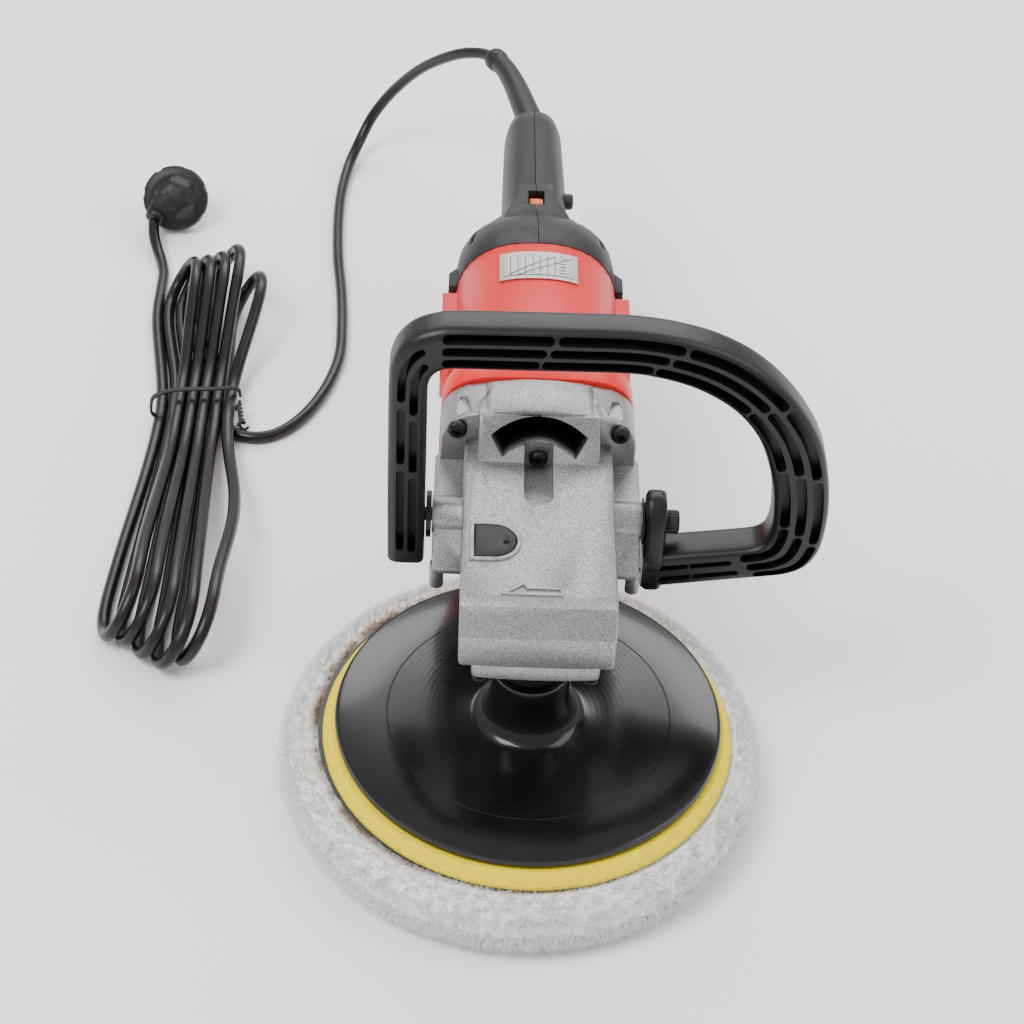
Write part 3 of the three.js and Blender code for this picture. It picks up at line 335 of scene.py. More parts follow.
def cast_aluminium():
    """Sand-cast alloy: bright and dark grains of about half a millimetre, a broad grey haze and soft
    pits."""
    finish = Finish("cast_aluminium").value(Metallic=0.85)
    tree = finish.tree
    tone = finish.group(MOTTLE, Scale=22.0, Amount=0.8, First=(0.27, 0.27, 0.275),
                        Second=(0.21, 0.21, 0.215))
    speckle = finish.group(GRAIN, Scale=2300.0, Coarse=0.12)
    sparkle = ramp(tree, speckle["Height"], 0.42, 0.68)
    dark = mix_colour(tree, sparkle, (0.05, 0.05, 0.053), (0.62, 0.62, 0.62))
    colour = mix_colour(tree, 0.55, tone["Color"], dark)
    # Painted shade: the inside of the arched vent is darkened to near black in the base colour.
    vent_shaded_colour = mix_colour(tree, vent_shade(tree, finish.where), colour, (0.02, 0.02, 0.02))
    finish.link(vent_shaded_colour, "Base Color")
    finish.link(maths(tree, "MULTIPLY_ADD", sparkle, -0.14, 0.46), "Roughness")
    pits = finish.group(GRAIN, Scale=900.0, Coarse=0.3)
    finish.bump(speckle["Height"], 0.00016, 0.9)
    return finish.bump(pits["Height"], 0.00022, 0.6).material


def gloss_plate():
    """Polished black plate: fine turning rings, dust, and faint hairline marks in the clear gloss."""
    finish = Finish("gloss_plate").value(Coat_Weight=0.15, Coat_Roughness=0.08, Specular_IOR_Level=0.32)
    tree = finish.tree
    rings = node(tree, "TexWave", {"Scale": 130.0, "Distortion": 0.6, "Vector": finish.where},
                 wave_type="RINGS", rings_direction="Z")
    settled = finish.group(DUST, Scale=700.0, Amount=0.07)
    marks = finish.group(SCUFF, Scale=55.0, Amount=0.25)
    tone = mix_colour(tree, settled["Mask"], (0.0035, 0.0035, 0.0038), (0.10, 0.10, 0.105))
    faint = maths(tree, "MULTIPLY", marks["Mask"], 0.12)
    finish.link(mix_colour(tree, faint, tone, (0.1, 0.1, 0.1)), "Base Color")
    rough = maths(tree, "MULTIPLY_ADD", marks["Mask"], 0.15, 0.2)
    finish.link(maths(tree, "MULTIPLY_ADD", settled["Mask"], 0.6, rough), "Roughness")
    return finish.bump(rings.outputs["Fac"], 0.00002, 0.35).material


def wool(name, fibre):
    """Wool: creamy white with soft cool patches of painted shade, stained yellow in a broken ring next to
    the foam and darker brown closest to it; loose fibres get painted shade that greys their roots."""
    finish = Finish(name).value(Roughness=0.95, Sheen_Weight=0.35, Sheen_Roughness=0.5)
    tree = finish.tree
    # Painted shade: the cool grey-blue second tone is laid in soft random patches over the white.
    clump = finish.group(MOTTLE, Scale=75.0, Amount=0.75, First=(0.985, 0.985, 0.98),
                         Second=(0.91, 0.925, 0.945))
    radius = distance(tree, finish.where, (1.0, 1.0, 0.0), (0.0026, -0.0024, 0.0))
    edge = ramp(tree, radius, 0.0955, 0.0895)
    patch = ramp(tree, noise(tree, finish.where, 42.0, 4.0, 0.7), 0.40, 0.62)
    split = node(tree, "SeparateXYZ", {0: finish.where}).outputs
    side = ramp(tree, split["X"], 0.045, -0.055)
    patch = maths(tree, "MULTIPLY", patch, side)
    stain = maths(tree, "MULTIPLY", edge, patch)
    warm = mix_colour(tree, stain, clump["Color"], (0.62, 0.42, 0.13))
    # A darker brown broken ring right next to the foam, on the left side, laid over the yellow stain.
    dark_brown_ring = maths(tree, "MULTIPLY", ramp(tree, radius, 0.0930, 0.0898), patch)
    colour = mix_colour(tree, dark_brown_ring, warm, (0.13, 0.06, 0.02))
    if fibre:
        # Painted shade deep in the pile: each fibre is greyed towards its root and left plain at its tip.
        root = node(tree, "Attribute", attribute_name="along").outputs["Fac"]
        colour = mix_colour(tree, root, mix_colour(tree, 0.25, colour, (0.80, 0.81, 0.82)), colour)
    finish.link(colour, "Base Color")
    strands = finish.group(GRAIN, Scale=900.0, Coarse=1.0)
    finish.bump(strands["Height"], 0.0006, 0.8)
    return finish.material


def foam():
    """Yellow open-cell foam: small round cells as bump, with painted shade darkening the cell mouths and
    the lower edge next to the wool."""
    finish = Finish("foam").value(Roughness=0.9, Specular_IOR_Level=0.2)
    tree = finish.tree
    cells = node(tree, "TexVoronoi", {"Scale": 1100.0, "Vector": finish.where}, feature="F1")
    mouth = ramp(tree, cells.outputs["Distance"], 0.25, 0.55)
    tone = finish.group(MOTTLE, Scale=30.0, Amount=0.6, First=(0.96, 0.76, 0.0), Second=(0.88, 0.68, 0.0))
    # Painted shade in the pores: the yellow is darkened at each cell's centre, where the bump sinks.
    pit_shaded_tone = mix_colour(tree, maths(tree, "MULTIPLY", maths(tree, "SUBTRACT", 1.0, mouth), 0.35),
                        tone["Color"], (0.70, 0.52, 0.0))
    split = node(tree, "SeparateXYZ", {0: finish.where}).outputs
    # Painted shade: the foam's lower edge, tucked behind the wool roll, is darkened towards brown.
    low = maths(tree, "MULTIPLY", ramp(tree, split["Z"], 0.0312, 0.0290), 0.55)
    finish.link(mix_colour(tree, low, pit_shaded_tone, (0.16, 0.12, 0.03)), "Base Color")
    return finish.bump(mouth, 0.00025, 0.8).material


def cord_jacket(name, roughness):
    """Extruded jacket: a fine lengthwise draw texture in its own UV map, dusty patches and dull rubbed
    places."""
    finish = Finish(name, "UV").value(Specular_IOR_Level=0.34)
    tree = finish.tree
    place = node(tree, "TexCoord").outputs["Object"]
    draw = node(tree, "Mapping", {"Scale": (60.0, 3000.0, 1.0), "Vector": finish.where})
    lines = noise(tree, draw.outputs[0], 1.0, 2.0)
    settled = finish.group(DUST, vector=place, Scale=600.0, Amount=0.12)
    tone = finish.group(MOTTLE, vector=place, Scale=50.0, Amount=0.7, First=(0.003, 0.003, 0.0033),
                        Second=(0.006, 0.006, 0.0065))
    dusty = mix_colour(tree, settled["Mask"], tone["Color"], (0.13, 0.13, 0.13))
    finish.link(dusty, "Base Color")
    rough = maths(tree, "MULTIPLY_ADD", lines, 0.10, roughness - 0.05)
    finish.link(maths(tree, "MULTIPLY_ADD", settled["Mask"], 0.4, rough), "Roughness")
    return finish.bump(lines, 0.00003, 0.6).material


def woven(name, first, second, scale):
    """Plain weave: two crossed sine bands over Object coordinates, over and under, uneven dye, painted
    shade in the dips.
    """
    finish = Finish(name).value(Roughness=0.9, Sheen_Weight=0.3)
    tree = finish.tree
    bands = []
    for axis in ("X", "Y"):
        made = node(tree, "TexWave", {"Scale": scale, "Vector": finish.where}, bands_direction=axis)
        bands.append(made.outputs["Fac"])
    height = maths(tree, "MAXIMUM", bands[0], bands[1])
    tone = finish.group(MOTTLE, Scale=40.0, Amount=0.6, First=first, Second=second)
    # Painted shade: threads are darkened where they dip under the crossing threads.
    dark = tuple(c * 0.55 for c in first)
    under = maths(tree, "SUBTRACT", 1.0, height)
    finish.link(mix_colour(tree, under, tone["Color"], dark), "Base Color")
    return finish.bump(height, 0.0003, 0.7).material


MATERIALS = {
    "cast_aluminium": cast_aluminium(),
    "red_plastic": plastic("red_plastic", (0.72, 0.0025, 0.002), (0.64, 0.002, 0.002), 0.38, 0.06, 1700.0,
                           0.00006, 0.03, 0.15, 0.08),
    "black_plastic": plastic("black_plastic", (0.0085, 0.0085, 0.0095), (0.012, 0.012, 0.0135), 0.42, 0.12,
                             1900.0, 0.00010, 0.08),
    "handle_plastic": plastic("handle_plastic", (0.0035, 0.0035, 0.004), (0.006, 0.006, 0.007), 0.33, 0.10,
                              1500.0, 0.00007, 0.06),
    "gloss_plate": gloss_plate(),
    "wool": wool("wool_pile", False),
    "woven_backing": woven("woven_backing", (0.50, 0.46, 0.38), (0.36, 0.30, 0.2), 900.0),
    "hook_nylon": woven("hook_nylon", (0.03, 0.03, 0.03), (0.05, 0.045, 0.04), 1300.0),
    "foam": foam(),
    "steel": metal("machined_steel", (0.56, 0.56, 0.57), (0.44, 0.44, 0.45), 0.26, 1400.0, 0.00003, True),
    "black_steel": metal("black_steel", (0.030, 0.030, 0.032), (0.055, 0.053, 0.05), 0.36, 1600.0, 0.00005),
    "copper": metal("copper_winding", (0.60, 0.27, 0.13), (0.42, 0.17, 0.08), 0.34, 900.0, 0.0001, True),
    "carbon": plastic("carbon", (0.02, 0.02, 0.02), (0.04, 0.04, 0.04), 0.6, 0.1, 2400.0, 0.0001),
    "label_film": metal("label_film", (0.40, 0.40, 0.40), (0.34, 0.34, 0.34), 0.42, 1200.0, 0.00002, False,
                        0.25),
    "orange_plastic": plastic("orange_plastic", (0.78, 0.16, 0.02), (0.66, 0.12, 0.015), 0.38, 0.08, 1500.0,
                              0.00005),
    "rubber": cord_jacket("cord_jacket", 0.30),
    "tie_plastic": plastic("tie_plastic", (0.015, 0.015, 0.015), (0.03, 0.03, 0.03), 0.42, 0.1, 2000.0,
                           0.00005),
    "pin_metal": metal("pin_metal", (0.62, 0.61, 0.58), (0.52, 0.50, 0.46), 0.2, 1500.0, 0.00002, True),
}
MOULDED = plastic("moulded_rubber", (0.005, 0.005, 0.0055), (0.009, 0.009, 0.0095), 0.40, 0.10, 1300.0,
                  0.00008, 0.12)

# ---- mesh helpers ----


def add_piece(name, points, faces, body, slot, replaced=(), uv=None, material=None):
    """A mesh piece in metres from points in millimetres, riding on a body and standing for the named
    CAD nodes."""
    mesh = bpy.data.meshes.new(name)
    mesh.from_pydata(np.asarray(points, float) * MM, [], faces)
    if uv is not None:
        layer = mesh.uv_layers.new(name="UVMap")
        corner = np.empty(len(mesh.loops), int)
        mesh.loops.foreach_get("vertex_index", corner)
        layer.data.foreach_set("uv", np.asarray(uv, float)[corner].ravel())
    mesh.polygons.foreach_set("use_smooth", np.ones(len(mesh.polygons), bool))
    mesh.materials.append(material or MATERIALS[slot])
    mesh.validate()
    piece = placed(name, mesh)
    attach(piece, body)
    if replaced:
        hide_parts(*replaced)
    return piece


def grid_faces(rows, columns):
    """Quads of a rows by columns grid of points whose columns close into rings."""
    r = np.arange(rows - 1)[:, None] * columns
    c = np.arange(columns)[None]
    ahead = (c + 1) % columns
    quads = np.stack([r + c, r + ahead, r + columns + ahead, r + columns + c], -1)
    return quads.reshape(-1, 4).tolist()


def end_caps(rows, columns):
    """Two many-sided faces over the first and the last ring of a grid."""
    return [tuple(range(columns)), tuple(range((rows - 1) * columns, rows * columns))]


def lathe(profile, segments, centre=(0.0, 0.0)):
    """A profile of (radius, height) carried round the Z axis."""
    profile = np.asarray(profile, float)
    t = np.linspace(0, 2 * math.pi, segments, endpoint=False)
    x = centre[0] + profile[:, :1] * np.cos(t)
    y = centre[1] + profile[:, :1] * np.sin(t)
    z = np.repeat(profile[:, 1:], segments, 1)
    return np.stack([x, y, z], -1).reshape(-1, 3), grid_faces(len(profile), segments)


def sharpen(piece, angle):
    piece.data.set_sharp_from_angle(angle=math.radians(angle))
    return piece


def turn_out(piece, merge=True):
    """Recalculates a closed mesh's normals to point outwards, after its doubles are merged."""
    work = bmesh.new()
    work.from_mesh(piece.data)
    if merge:
        bmesh.ops.remove_doubles(work, verts=work.verts, dist=1e-6)
    bmesh.ops.recalc_face_normals(work, faces=work.faces)
    work.to_mesh(piece.data)
    work.free()
    return piece


def apply_modifiers(piece):
    """Replaces a piece's mesh by its evaluated mesh and clears its modifiers."""
    graph = bpy.context.evaluated_depsgraph_get()
    done = bpy.data.meshes.new_from_object(piece.evaluated_get(graph))
    piece.modifiers.clear()
    piece.data = done


def round_edges(piece, width, segments, angle):
    bevel = piece.modifiers.new("edges", "BEVEL")
    bevel.width = width * MM
    bevel.segments = segments
    bevel.limit_method = "ANGLE"
    bevel.angle_limit = math.radians(angle)
    bevel.harden_normals = True
    return bevel


def refined(name, width, segments):
    """A copy of a CAD node with its doubles merged, coplanar triangles joined and every hard edge
    rounded."""
    source = NODES[name]
    mesh = bpy.data.meshes.new(name + "_surface")
    work = bmesh.new()
    work.from_mesh(source.data)
    bmesh.ops.remove_doubles(work, verts=work.verts, dist=1e-5)
    bmesh.ops.dissolve_limit(work, angle_limit=math.radians(0.6), verts=work.verts, edges=work.edges)
    work.to_mesh(mesh)
    work.free()
    mesh.polygons.foreach_set("use_smooth", np.ones(len(mesh.polygons), bool))
    mesh.materials.clear()
    mesh.materials.append(MATERIALS[SLOT_OF[name]])
    mesh.polygons.foreach_set("material_index", np.zeros(len(mesh.polygons), int))
    piece = placed(name + "_surface", mesh)
    if width:
        round_edges(piece, width, segments, 32).miter_outer = "MITER_ARC"
        apply_modifiers(piece)
    else:
        mesh.set_sharp_from_angle(angle=math.radians(40))
    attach(piece, BODY_OF[name])
    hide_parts(name)
    return piece


# ---- cord route ----
CORD_D = 6.2
LEAD = [(-21.5, 443.4, 97.2), (-28.4, 451.6, 94.2), (-38.6, 461, 88), (-50, 471.4, 77.6),
        (-62, 482.4, 64), (-72.4, 490.6, 49.6), (-82.4, 495, 35), (-91, 494.4, 21.4), (-97.2, 486, 11),
        (-102.2, 471.6, 5.4), (-105.2, 450, 3.2), (-106, 425, 3.1), (-104.2, 383, 3.1),
        (-100.2, 346, 3.1), (-98.2, 315, 3.1), (-98.4, 289, 3.1), (-105, 260, 3.1), (-116, 237, 3.1),
        (-129.6, 223.4, 3.1), (-143, 221.5, 3.1), (-151, 227, 3.1)]
TAIL = [(-199.2, 362, 3.1), (-202, 372.6, 3.2), (-205.2, 381.6, 5), (-207.7, 390.4, 8.3),
        (-208.3, 397.1, 10.8)]
TIE_Y, WAIST = 242.0, 6
LAST_X, PITCH, LOW_Z = -187.2, 6.4, 3.1
FOLD_R = 16.5
FOLD_TILT = math.radians(60)
REAR_FOLDS = [(-149, 336), (-162.6, 360), (-170, 353), (-177.4, 349), (-184.8, 347)]
FRONT_FOLDS = [(-152.5, 54), (-161.5, 51), (-171, 57), (-180, 65), (-188.5, 68)]


def fold(centre_x, tip_y, sign, low_first):
    """Half a circle in a plane that leans about Y, its low leg on the left, its tip at a Y."""
    a = np.linspace(0, math.pi, 9)
    across = -np.cos(a) * FOLD_R * (1 if low_first else -1)
    out = np.sin(a) * FOLD_R
    return np.c_[centre_x + across * math.cos(FOLD_TILT), tip_y - sign * (FOLD_R - out),
                 CORD_D / 2 + (across + FOLD_R) * math.sin(FOLD_TILT)]


def run(start, end, bulge=0.0):
    """Points between two ends that ease across in X and Z while Y goes evenly, with an optional
    sideways bow."""
    s = np.linspace(0, 1, 8)[1:-1]
    ease = s * s * (3 - 2 * s)
    a, b = np.asarray(start, float), np.asarray(end, float)
    return np.c_[a[0] + (b[0] - a[0]) * ease + bulge * np.sin(math.pi * s) ** 2,
                 a[1] + (b[1] - a[1]) * s, a[2] + (b[2] - a[2]) * ease]


def distances(line):
    """How far along a line each of its points lies."""
    return np.r_[0, np.cumsum(np.linalg.norm(np.diff(line, axis=0), axis=1))]


def sampled(values, at, wanted):
    """Rows of values known at some places, read off at the wanted places."""
    return np.stack([np.interp(wanted, at, column) for column in values.T], 1)


def even_steps(points, step):
    """Points at equal distances along a line."""
    along = distances(points)
    return sampled(points, along, np.linspace(0, along[-1], int(round(along[-1] / step)) + 1))


def smooth_line(points, step):
    """A centripetal Catmull-Rom curve through the points, in even steps."""
    p = np.asarray(points, float)
    p = np.vstack([2 * p[0] - p[1], p, 2 * p[-1] - p[-2]])
    gap = np.sqrt(np.linalg.norm(np.diff(p, axis=0), axis=1))
    t = np.r_[0, np.cumsum(gap)]
    pieces = []
    for i in range(1, len(p) - 2):
        u = np.linspace(t[i], t[i + 1], 12, endpoint=False)[:, None]
        a = [(t[j + 1] - u) / gap[j] * p[j] + (u - t[j]) / gap[j] * p[j + 1] for j in (i - 1, i, i + 1)]
        b = [(t[j + 2] - u) / (t[j + 2] - t[j]) * a[k] + (u - t[j]) / (t[j + 2] - t[j]) * a[k + 1]
             for k, j in enumerate((i - 1, i))]
        pieces.append((t[i + 1] - u) / gap[i] * b[0] + (u - t[i]) / gap[i] * b[1])
    return even_steps(np.vstack(pieces + [p[-2:-1]]), step)


def hank_route():
    """The lead, five turns that lean side by side, and the tail: low runs under high runs, drawn in at
    the tie."""
    parts = [np.array(LEAD, float)]
    for turn in range(5):
        column = LAST_X + PITCH * (5 - turn)
        low, high = (column, LOW_Z), (column + 3.2, 8.9)
        rear = fold(*REAR_FOLDS[turn], 1, True)
        front = fold(*FRONT_FOLDS[turn], -1, False)
        parts += [np.array([(low[0], TIE_Y - WAIST, low[1]), (low[0], TIE_Y + WAIST, low[1])]),
                  run((low[0], TIE_Y + WAIST, low[1]), rear[0]), rear,
                  run(rear[-1], (high[0], TIE_Y + WAIST, high[1])),
                  np.array([(high[0], TIE_Y + WAIST, high[1]), (high[0], TIE_Y - WAIST, high[1])]),
                  run((high[0], TIE_Y - WAIST, high[1]), front[0], 7.0 if turn == 0 else 0.0), front,
                  run(front[-1], (column - PITCH, TIE_Y - WAIST, LOW_Z))]
    parts += [np.array([(LAST_X, TIE_Y - WAIST, LOW_Z), (LAST_X, TIE_Y + WAIST, LOW_Z),
                        (-192.6, 285, LOW_Z), (-197.8, 325, LOW_Z)]), np.array(TAIL, float)]
    return smooth_line(np.vstack(parts), 5.0)


def settle(line, rounds, fixed):
    """Pushes runs apart to one diameter, evens the bends, keeps the waist inside the tie and lets the
    rest sink."""
    p = line.copy()
    index = np.arange(len(p))
    apart = np.triu(np.abs(index[:, None] - index[None]) > 5, 1)
    free = np.ones(len(p))
    free[:fixed] = 0
    free[-12:] = 0
    free = (np.convolve(free, np.ones(9) / 9, mode="same") * free)[:, None]
    for step in range(rounds):
        bend = np.zeros_like(p)
        bend[2:-2] = (-p[:-4] + 4 * p[1:-3] + 4 * p[3:-1] - p[4:]) / 6 - p[2:-2]
        p += free * bend * 0.4
        if step % 5 == 0:
            near = ((p[:, None] - p[None]) ** 2).sum(2) < (CORD_D + 5) ** 2
            first, second = np.nonzero(near & apart)
        between = p[first] - p[second]
        length = np.linalg.norm(between, axis=1) + 1e-9
        push = between / length[:, None] * np.clip(CORD_D + 0.1 - length, 0, None)[:, None] * 0.3
        moved = np.zeros_like(p)
        np.add.at(moved, first, push)
        np.add.at(moved, second, -push)
        for axis in range(3):
            moved[:, axis] = np.convolve(moved[:, axis], [0.16, 0.32, 0.64, 0.32, 0.16], mode="same")
        p += free * moved
        p[:, 2] = np.maximum(p[:, 2] - 0.02 * free[:, 0], CORD_D / 2)
        waist = (np.abs(p[:, 1] - TIE_Y) < WAIST) & (p[:, 0] < -146) & (free[:, 0] > 0)
        p[waist, 0] = np.clip(p[waist, 0], -188, -150.5)
        p[waist, 2] = np.clip(p[waist, 2], CORD_D / 2, 12.6)
    return p


def tube(line, radii, sides):
    """A tube round a line: at each point a ring in the plane across it, carried along without twisting.
    UV runs along the length in metres and round the ring from 0 to 1."""
    line = np.asarray(line, float)
    along = np.gradient(line, axis=0)
    along /= np.linalg.norm(along, axis=1)[:, None]
    normals = [np.cross(along[0], [0.31, 0.2, 0.93])]
    for d in along[1:]:
        n = normals[-1] - d * np.dot(normals[-1], d)
        normals.append(n / np.linalg.norm(n))
    normals = np.array(normals)
    normals[0] /= np.linalg.norm(normals[0])
    binormals = np.cross(along, normals)
    t = np.linspace(0, 2 * math.pi, sides, endpoint=False)
    r = np.broadcast_to(np.asarray(radii, float).reshape(-1, 1), (len(line), sides))
    ring = normals[:, None] * np.cos(t)[None, :, None] + binormals[:, None] * np.sin(t)[None, :, None]
    points = line[:, None] + ring * r[..., None]
    length = distances(line) * MM
    uv = np.stack(np.broadcast_arrays(length[:, None], t[None] / (2 * math.pi)), -1)
    points = np.vstack([points.reshape(-1, 3), line[:1], line[-1:]])
    uv = np.vstack([uv.reshape(-1, 2), uv[0, :1], uv[-1, :1]])
    faces = grid_faces(len(line), sides)
    last = len(points) - 2
    base = (len(line) - 1) * sides
    faces += [(last, (k + 1) % sides, k) for k in range(sides)]
    faces += [(last + 1, base + k, base + (k + 1) % sides) for k in range(sides)]
    return points, faces, uv


def make_cord():
    raw = hank_route()
    fixed = int(np.argmin(np.linalg.norm(raw - np.array(LEAD[18]), axis=1)))
    line = settle(raw, 110, fixed)
    line = smooth_line(line[::2], 2.6)
    points, faces, uv = tube(line, CORD_D / 2, 14)
    cord = add_piece("cord", points, faces, "housing", "rubber", ("cord_lead", "cord_hank", "cord_tail"),
                     uv)
    turn_out(cord)
    length = float(np.linalg.norm(np.diff(line, axis=0), axis=1).sum()) * MM
    return cord, line, length


set_camera()
set_studio()
CORD, CORD_LINE, CORD_LENGTH = make_cord()

# ---- pad stack ----
PAD_SHIFT = (-2.6, 2.4)


def finer(profile, count):
    """A profile resampled to a number of points, the same number in every span."""
    return sampled(np.array(profile), np.arange(len(profile)), np.linspace(0, len(profile) - 1, count))


def fleece(points, depth, shift=0.0):
    """Lumps of a pile surface: three octaves of crossed sines of the position, from -1 to 1 times a
    depth."""
    x, y, z = (points * MM).T
    lumps = np.sin(410 * x + 3 * np.sin(230 * y + shift)) * np.sin(390 * y + 2.4 * np.sin(260 * x - shift))
    middling = np.sin(790 * x + 500 * z + shift) * np.sin(830 * y - 430 * z)
    small = np.sin(1630 * x) * np.sin(1570 * y + 900 * z)
    lumps += 0.6 * middling + 0.4 * small
    return depth * lumps / 2.4


def wool_pad():
    """Pile of the pad: a rolled disc whose profile swells past the foam, roughened along its
    normals."""
    profile = [(0.0, 0.4), (40, 0.4), (70, 0.4), (88, 0.6), (94, 2.4), (99, 5.6), (102.3, 10.0),
               (103.4, 15.0), (102.6, 20.0), (100.4, 24.0), (97.4, 26.8), (93.8, 27.9), (91.0, 27.2),
               (89.2, 25.4), (84, 25.2), (60, 25.2), (0.0, 25.2)]
    points, faces = lathe(finer(profile, 90), 256, PAD_SHIFT)
    centre = np.array([*PAD_SHIFT, 14.0])
    outward = points - centre
    outward[:, 2] *= 1.6
    reach = np.hypot(outward[:, 0], outward[:, 1])
    outward /= np.linalg.norm(outward, axis=1)[:, None] + 1e-9
    weight = np.clip((reach - 86) / 8, 0, 1) * np.clip((points[:, 2] - 0.5) / 3, 0, 1)
    points = points + outward * (fleece(points, 1.9) * weight)[:, None]
    points[:, 2] = np.maximum(points[:, 2], 0.2)
    pile = add_piece("wool_pad_pile", points, faces, "spindle", "wool", ("wool_pad",))
    turn_out(pile)


def wool_fibres(name, count, seed, low, high, length, width):
    """Locks of wool: curved tapering three-sided strands that start on the rolled edge and lean
    outwards and round."""
    rng = np.random.default_rng(seed)
    angle = rng.uniform(0, 2 * math.pi, count)
    lean = rng.uniform(low, high, count)
    root_r = 93.5 + 9.6 * np.cos(lean)
    root_z = 14.4 + 12.8 * np.sin(lean)
    out = np.stack([np.cos(angle), np.sin(angle), np.zeros(count)], 1)
    side = np.stack([-np.sin(angle), np.cos(angle), np.zeros(count)], 1)
    up = np.array([0.0, 0.0, 1.0])
    normal = out * np.cos(lean)[:, None] + up * np.sin(lean)[:, None]
    swirl = rng.normal(0, 0.7, count)[:, None] * side + rng.normal(0, 0.35, count)[:, None] * up
    curl = rng.normal(0, 0.5, (count, 1)) * side - rng.uniform(0.0, 0.35, (count, 1)) * up
    clump = np.sin(angle * 61 + 5 * np.sin(lean * 3)) * 0.35
    reach = (length * rng.uniform(0.6, 1.15, count))[:, None]
    s = np.array([0.0, 0.4, 0.75, 1.0])
    centre = (out * root_r[:, None] + up * root_z[:, None] + np.array([*PAD_SHIFT, 0.0]))[:, None]
    heading = (normal + 0.5 * swirl + clump[:, None] * side)[:, None]
    line = centre + reach[:, None] * (s[None, :, None] * heading
                                      + (s ** 2)[None, :, None] * (0.5 * curl)[:, None])
    line[..., 2] = np.maximum(line[..., 2], 0.35)
    thick = width * np.array([1.0, 0.85, 0.5])
    turn = np.arange(3) * 2 * math.pi / 3
    c, d = np.cos(turn)[None, None, :, None], np.sin(turn)[None, None, :, None]
    across = side[:, None, None] * c + np.cross(normal, side)[:, None, None] * d
    rings = line[:, :3, None] + across * thick[None, :, None, None]
    strands = np.concatenate([rings.reshape(count, 9, 3), line[:, 3:4]], 1)
    one = [(a * 3 + b, a * 3 + (b + 1) % 3, (a + 1) * 3 + (b + 1) % 3, (a + 1) * 3 + b) for a in range(2)
           for b in range(3)]
    tips = [(6, 7, 9), (7, 8, 9), (8, 6, 9), (0, 2, 1)]
    start = np.arange(count)[:, None, None] * 10
    faces = (np.array(one)[None] + start).reshape(-1, 4).tolist()
    faces += (np.array(tips)[None] + start).reshape(-1, 3).tolist()
    piece = add_piece(name, strands.reshape(-1, 3), faces, "spindle", "wool", material=FIBRE)
    layer = piece.data.attributes.new("along", "FLOAT", "POINT")
    layer.data.foreach_set("value", np.tile(np.repeat([0.0, 0.5, 0.8, 1.0], [3, 3, 3, 1]), count))


FIBRE = wool("wool_fibre", True)


def foam_ring():
    """Foam: a short cone between the hook disc and the plate, its side pulled in a little, with ragged
    cells."""
    profile = [(0, 28.75), (60, 28.75), (86.5, 28.75), (88.6, 29.0), (88.9, 29.7), (88.2, 31.4),
               (87.0, 33.4), (86.0, 35.0), (85.3, 35.7), (83.6, 35.9), (60, 35.9), (0, 35.9)]
    points, faces = lathe(finer(profile, 66), 300)
    reach = np.hypot(points[:, 0], points[:, 1])
    ragged = fleece(points * 3.1, 0.16, 0.7) + fleece(points * 7.3, 0.08, 1.9)
    grow = 1 + ragged / np.maximum(reach, 1) * (reach > 84)
    points[:, :2] *= grow[:, None]
    turn_out(add_piece("foam_ring", points, faces, "spindle", "foam", ("foam_pad",)))


def hook_and_backing():
    """Hook disc and the pad's woven back: thin discs with rolled rims and a slight wave."""
    for name, node_name, r, shift, z0, z1, slot in (
            ("hook_layer", "hook_disc", 89.2, (-1.9, 1.7), 27.15, 28.35, "hook_nylon"),
            ("woven_layer", "wool_backing", 88.0, PAD_SHIFT, 25.95, 26.85, "woven_backing")):
        middle = (z0 + z1) / 2
        edge = [(0, z0), (r - 0.5, z0), (r, middle - 0.1), (r, middle + 0.1), (r - 0.5, z1), (0, z1)]
        points, faces = lathe(edge, 180, shift)
        x, y = points[:, 0], points[:, 1]
        points[:, 2] += 0.06 * np.sin(9 * np.arctan2(y, x)) * (np.hypot(x, y) > 80)
        turn_out(add_piece(name, points, faces, "spindle", slot, (node_name,)))


def backing_plate():
    """Plate: a flat dish with a rounded rim, a fine ring groove and a hub that flares at its foot and
    rim."""
    profile = [(0, 36.35), (60, 36.35), (82.2, 36.35), (83.2, 36.9), (83.5, 38.0), (83.45, 39.4),
               (82.9, 40.5), (81.6, 41.0), (62.0, 41.25), (61.5, 41.25), (61.25, 41.0), (61.0, 41.0),
               (60.75, 41.25), (60.2, 41.25), (34, 41.3), (25.4, 41.5), (22.6, 42.2), (20.6, 43.8),
               (19.2, 46.6), (18.2, 50.2), (17.4, 55), (17.0, 62), (17.0, 68.6), (16.6, 69.6),
               (15.8, 70.0), (14.0, 70.0), (13.5, 69.6), (13.4, 68.0), (13.4, 45.6), (0, 45.6)]
    points, faces = lathe(profile, 200)
    sharpen(turn_out(add_piece("plate", points, faces, "spindle", "gloss_plate", ("backing_plate",))), 28)


def spindle_surface():
    """Spindle: shoulder with two flats' worth of chamfers, neck and seat, finely turned."""
    profile = [(0, 52), (6.4, 52), (7, 52.6), (7, 70.6), (13.4, 70.6), (14, 71.2), (14, 87.6),
               (13.6, 88.2), (10.4, 90.6), (10, 91.2), (9.6, 95.2), (9.2, 95.8), (6.4, 96.6), (6, 97.2),
               (6, 123.9), (0, 123.9)]
    points, faces = lathe(profile, 96)
    sharpen(turn_out(add_piece("spindle_turned", points, faces, "spindle", "black_steel", ("spindle",))),
            25)


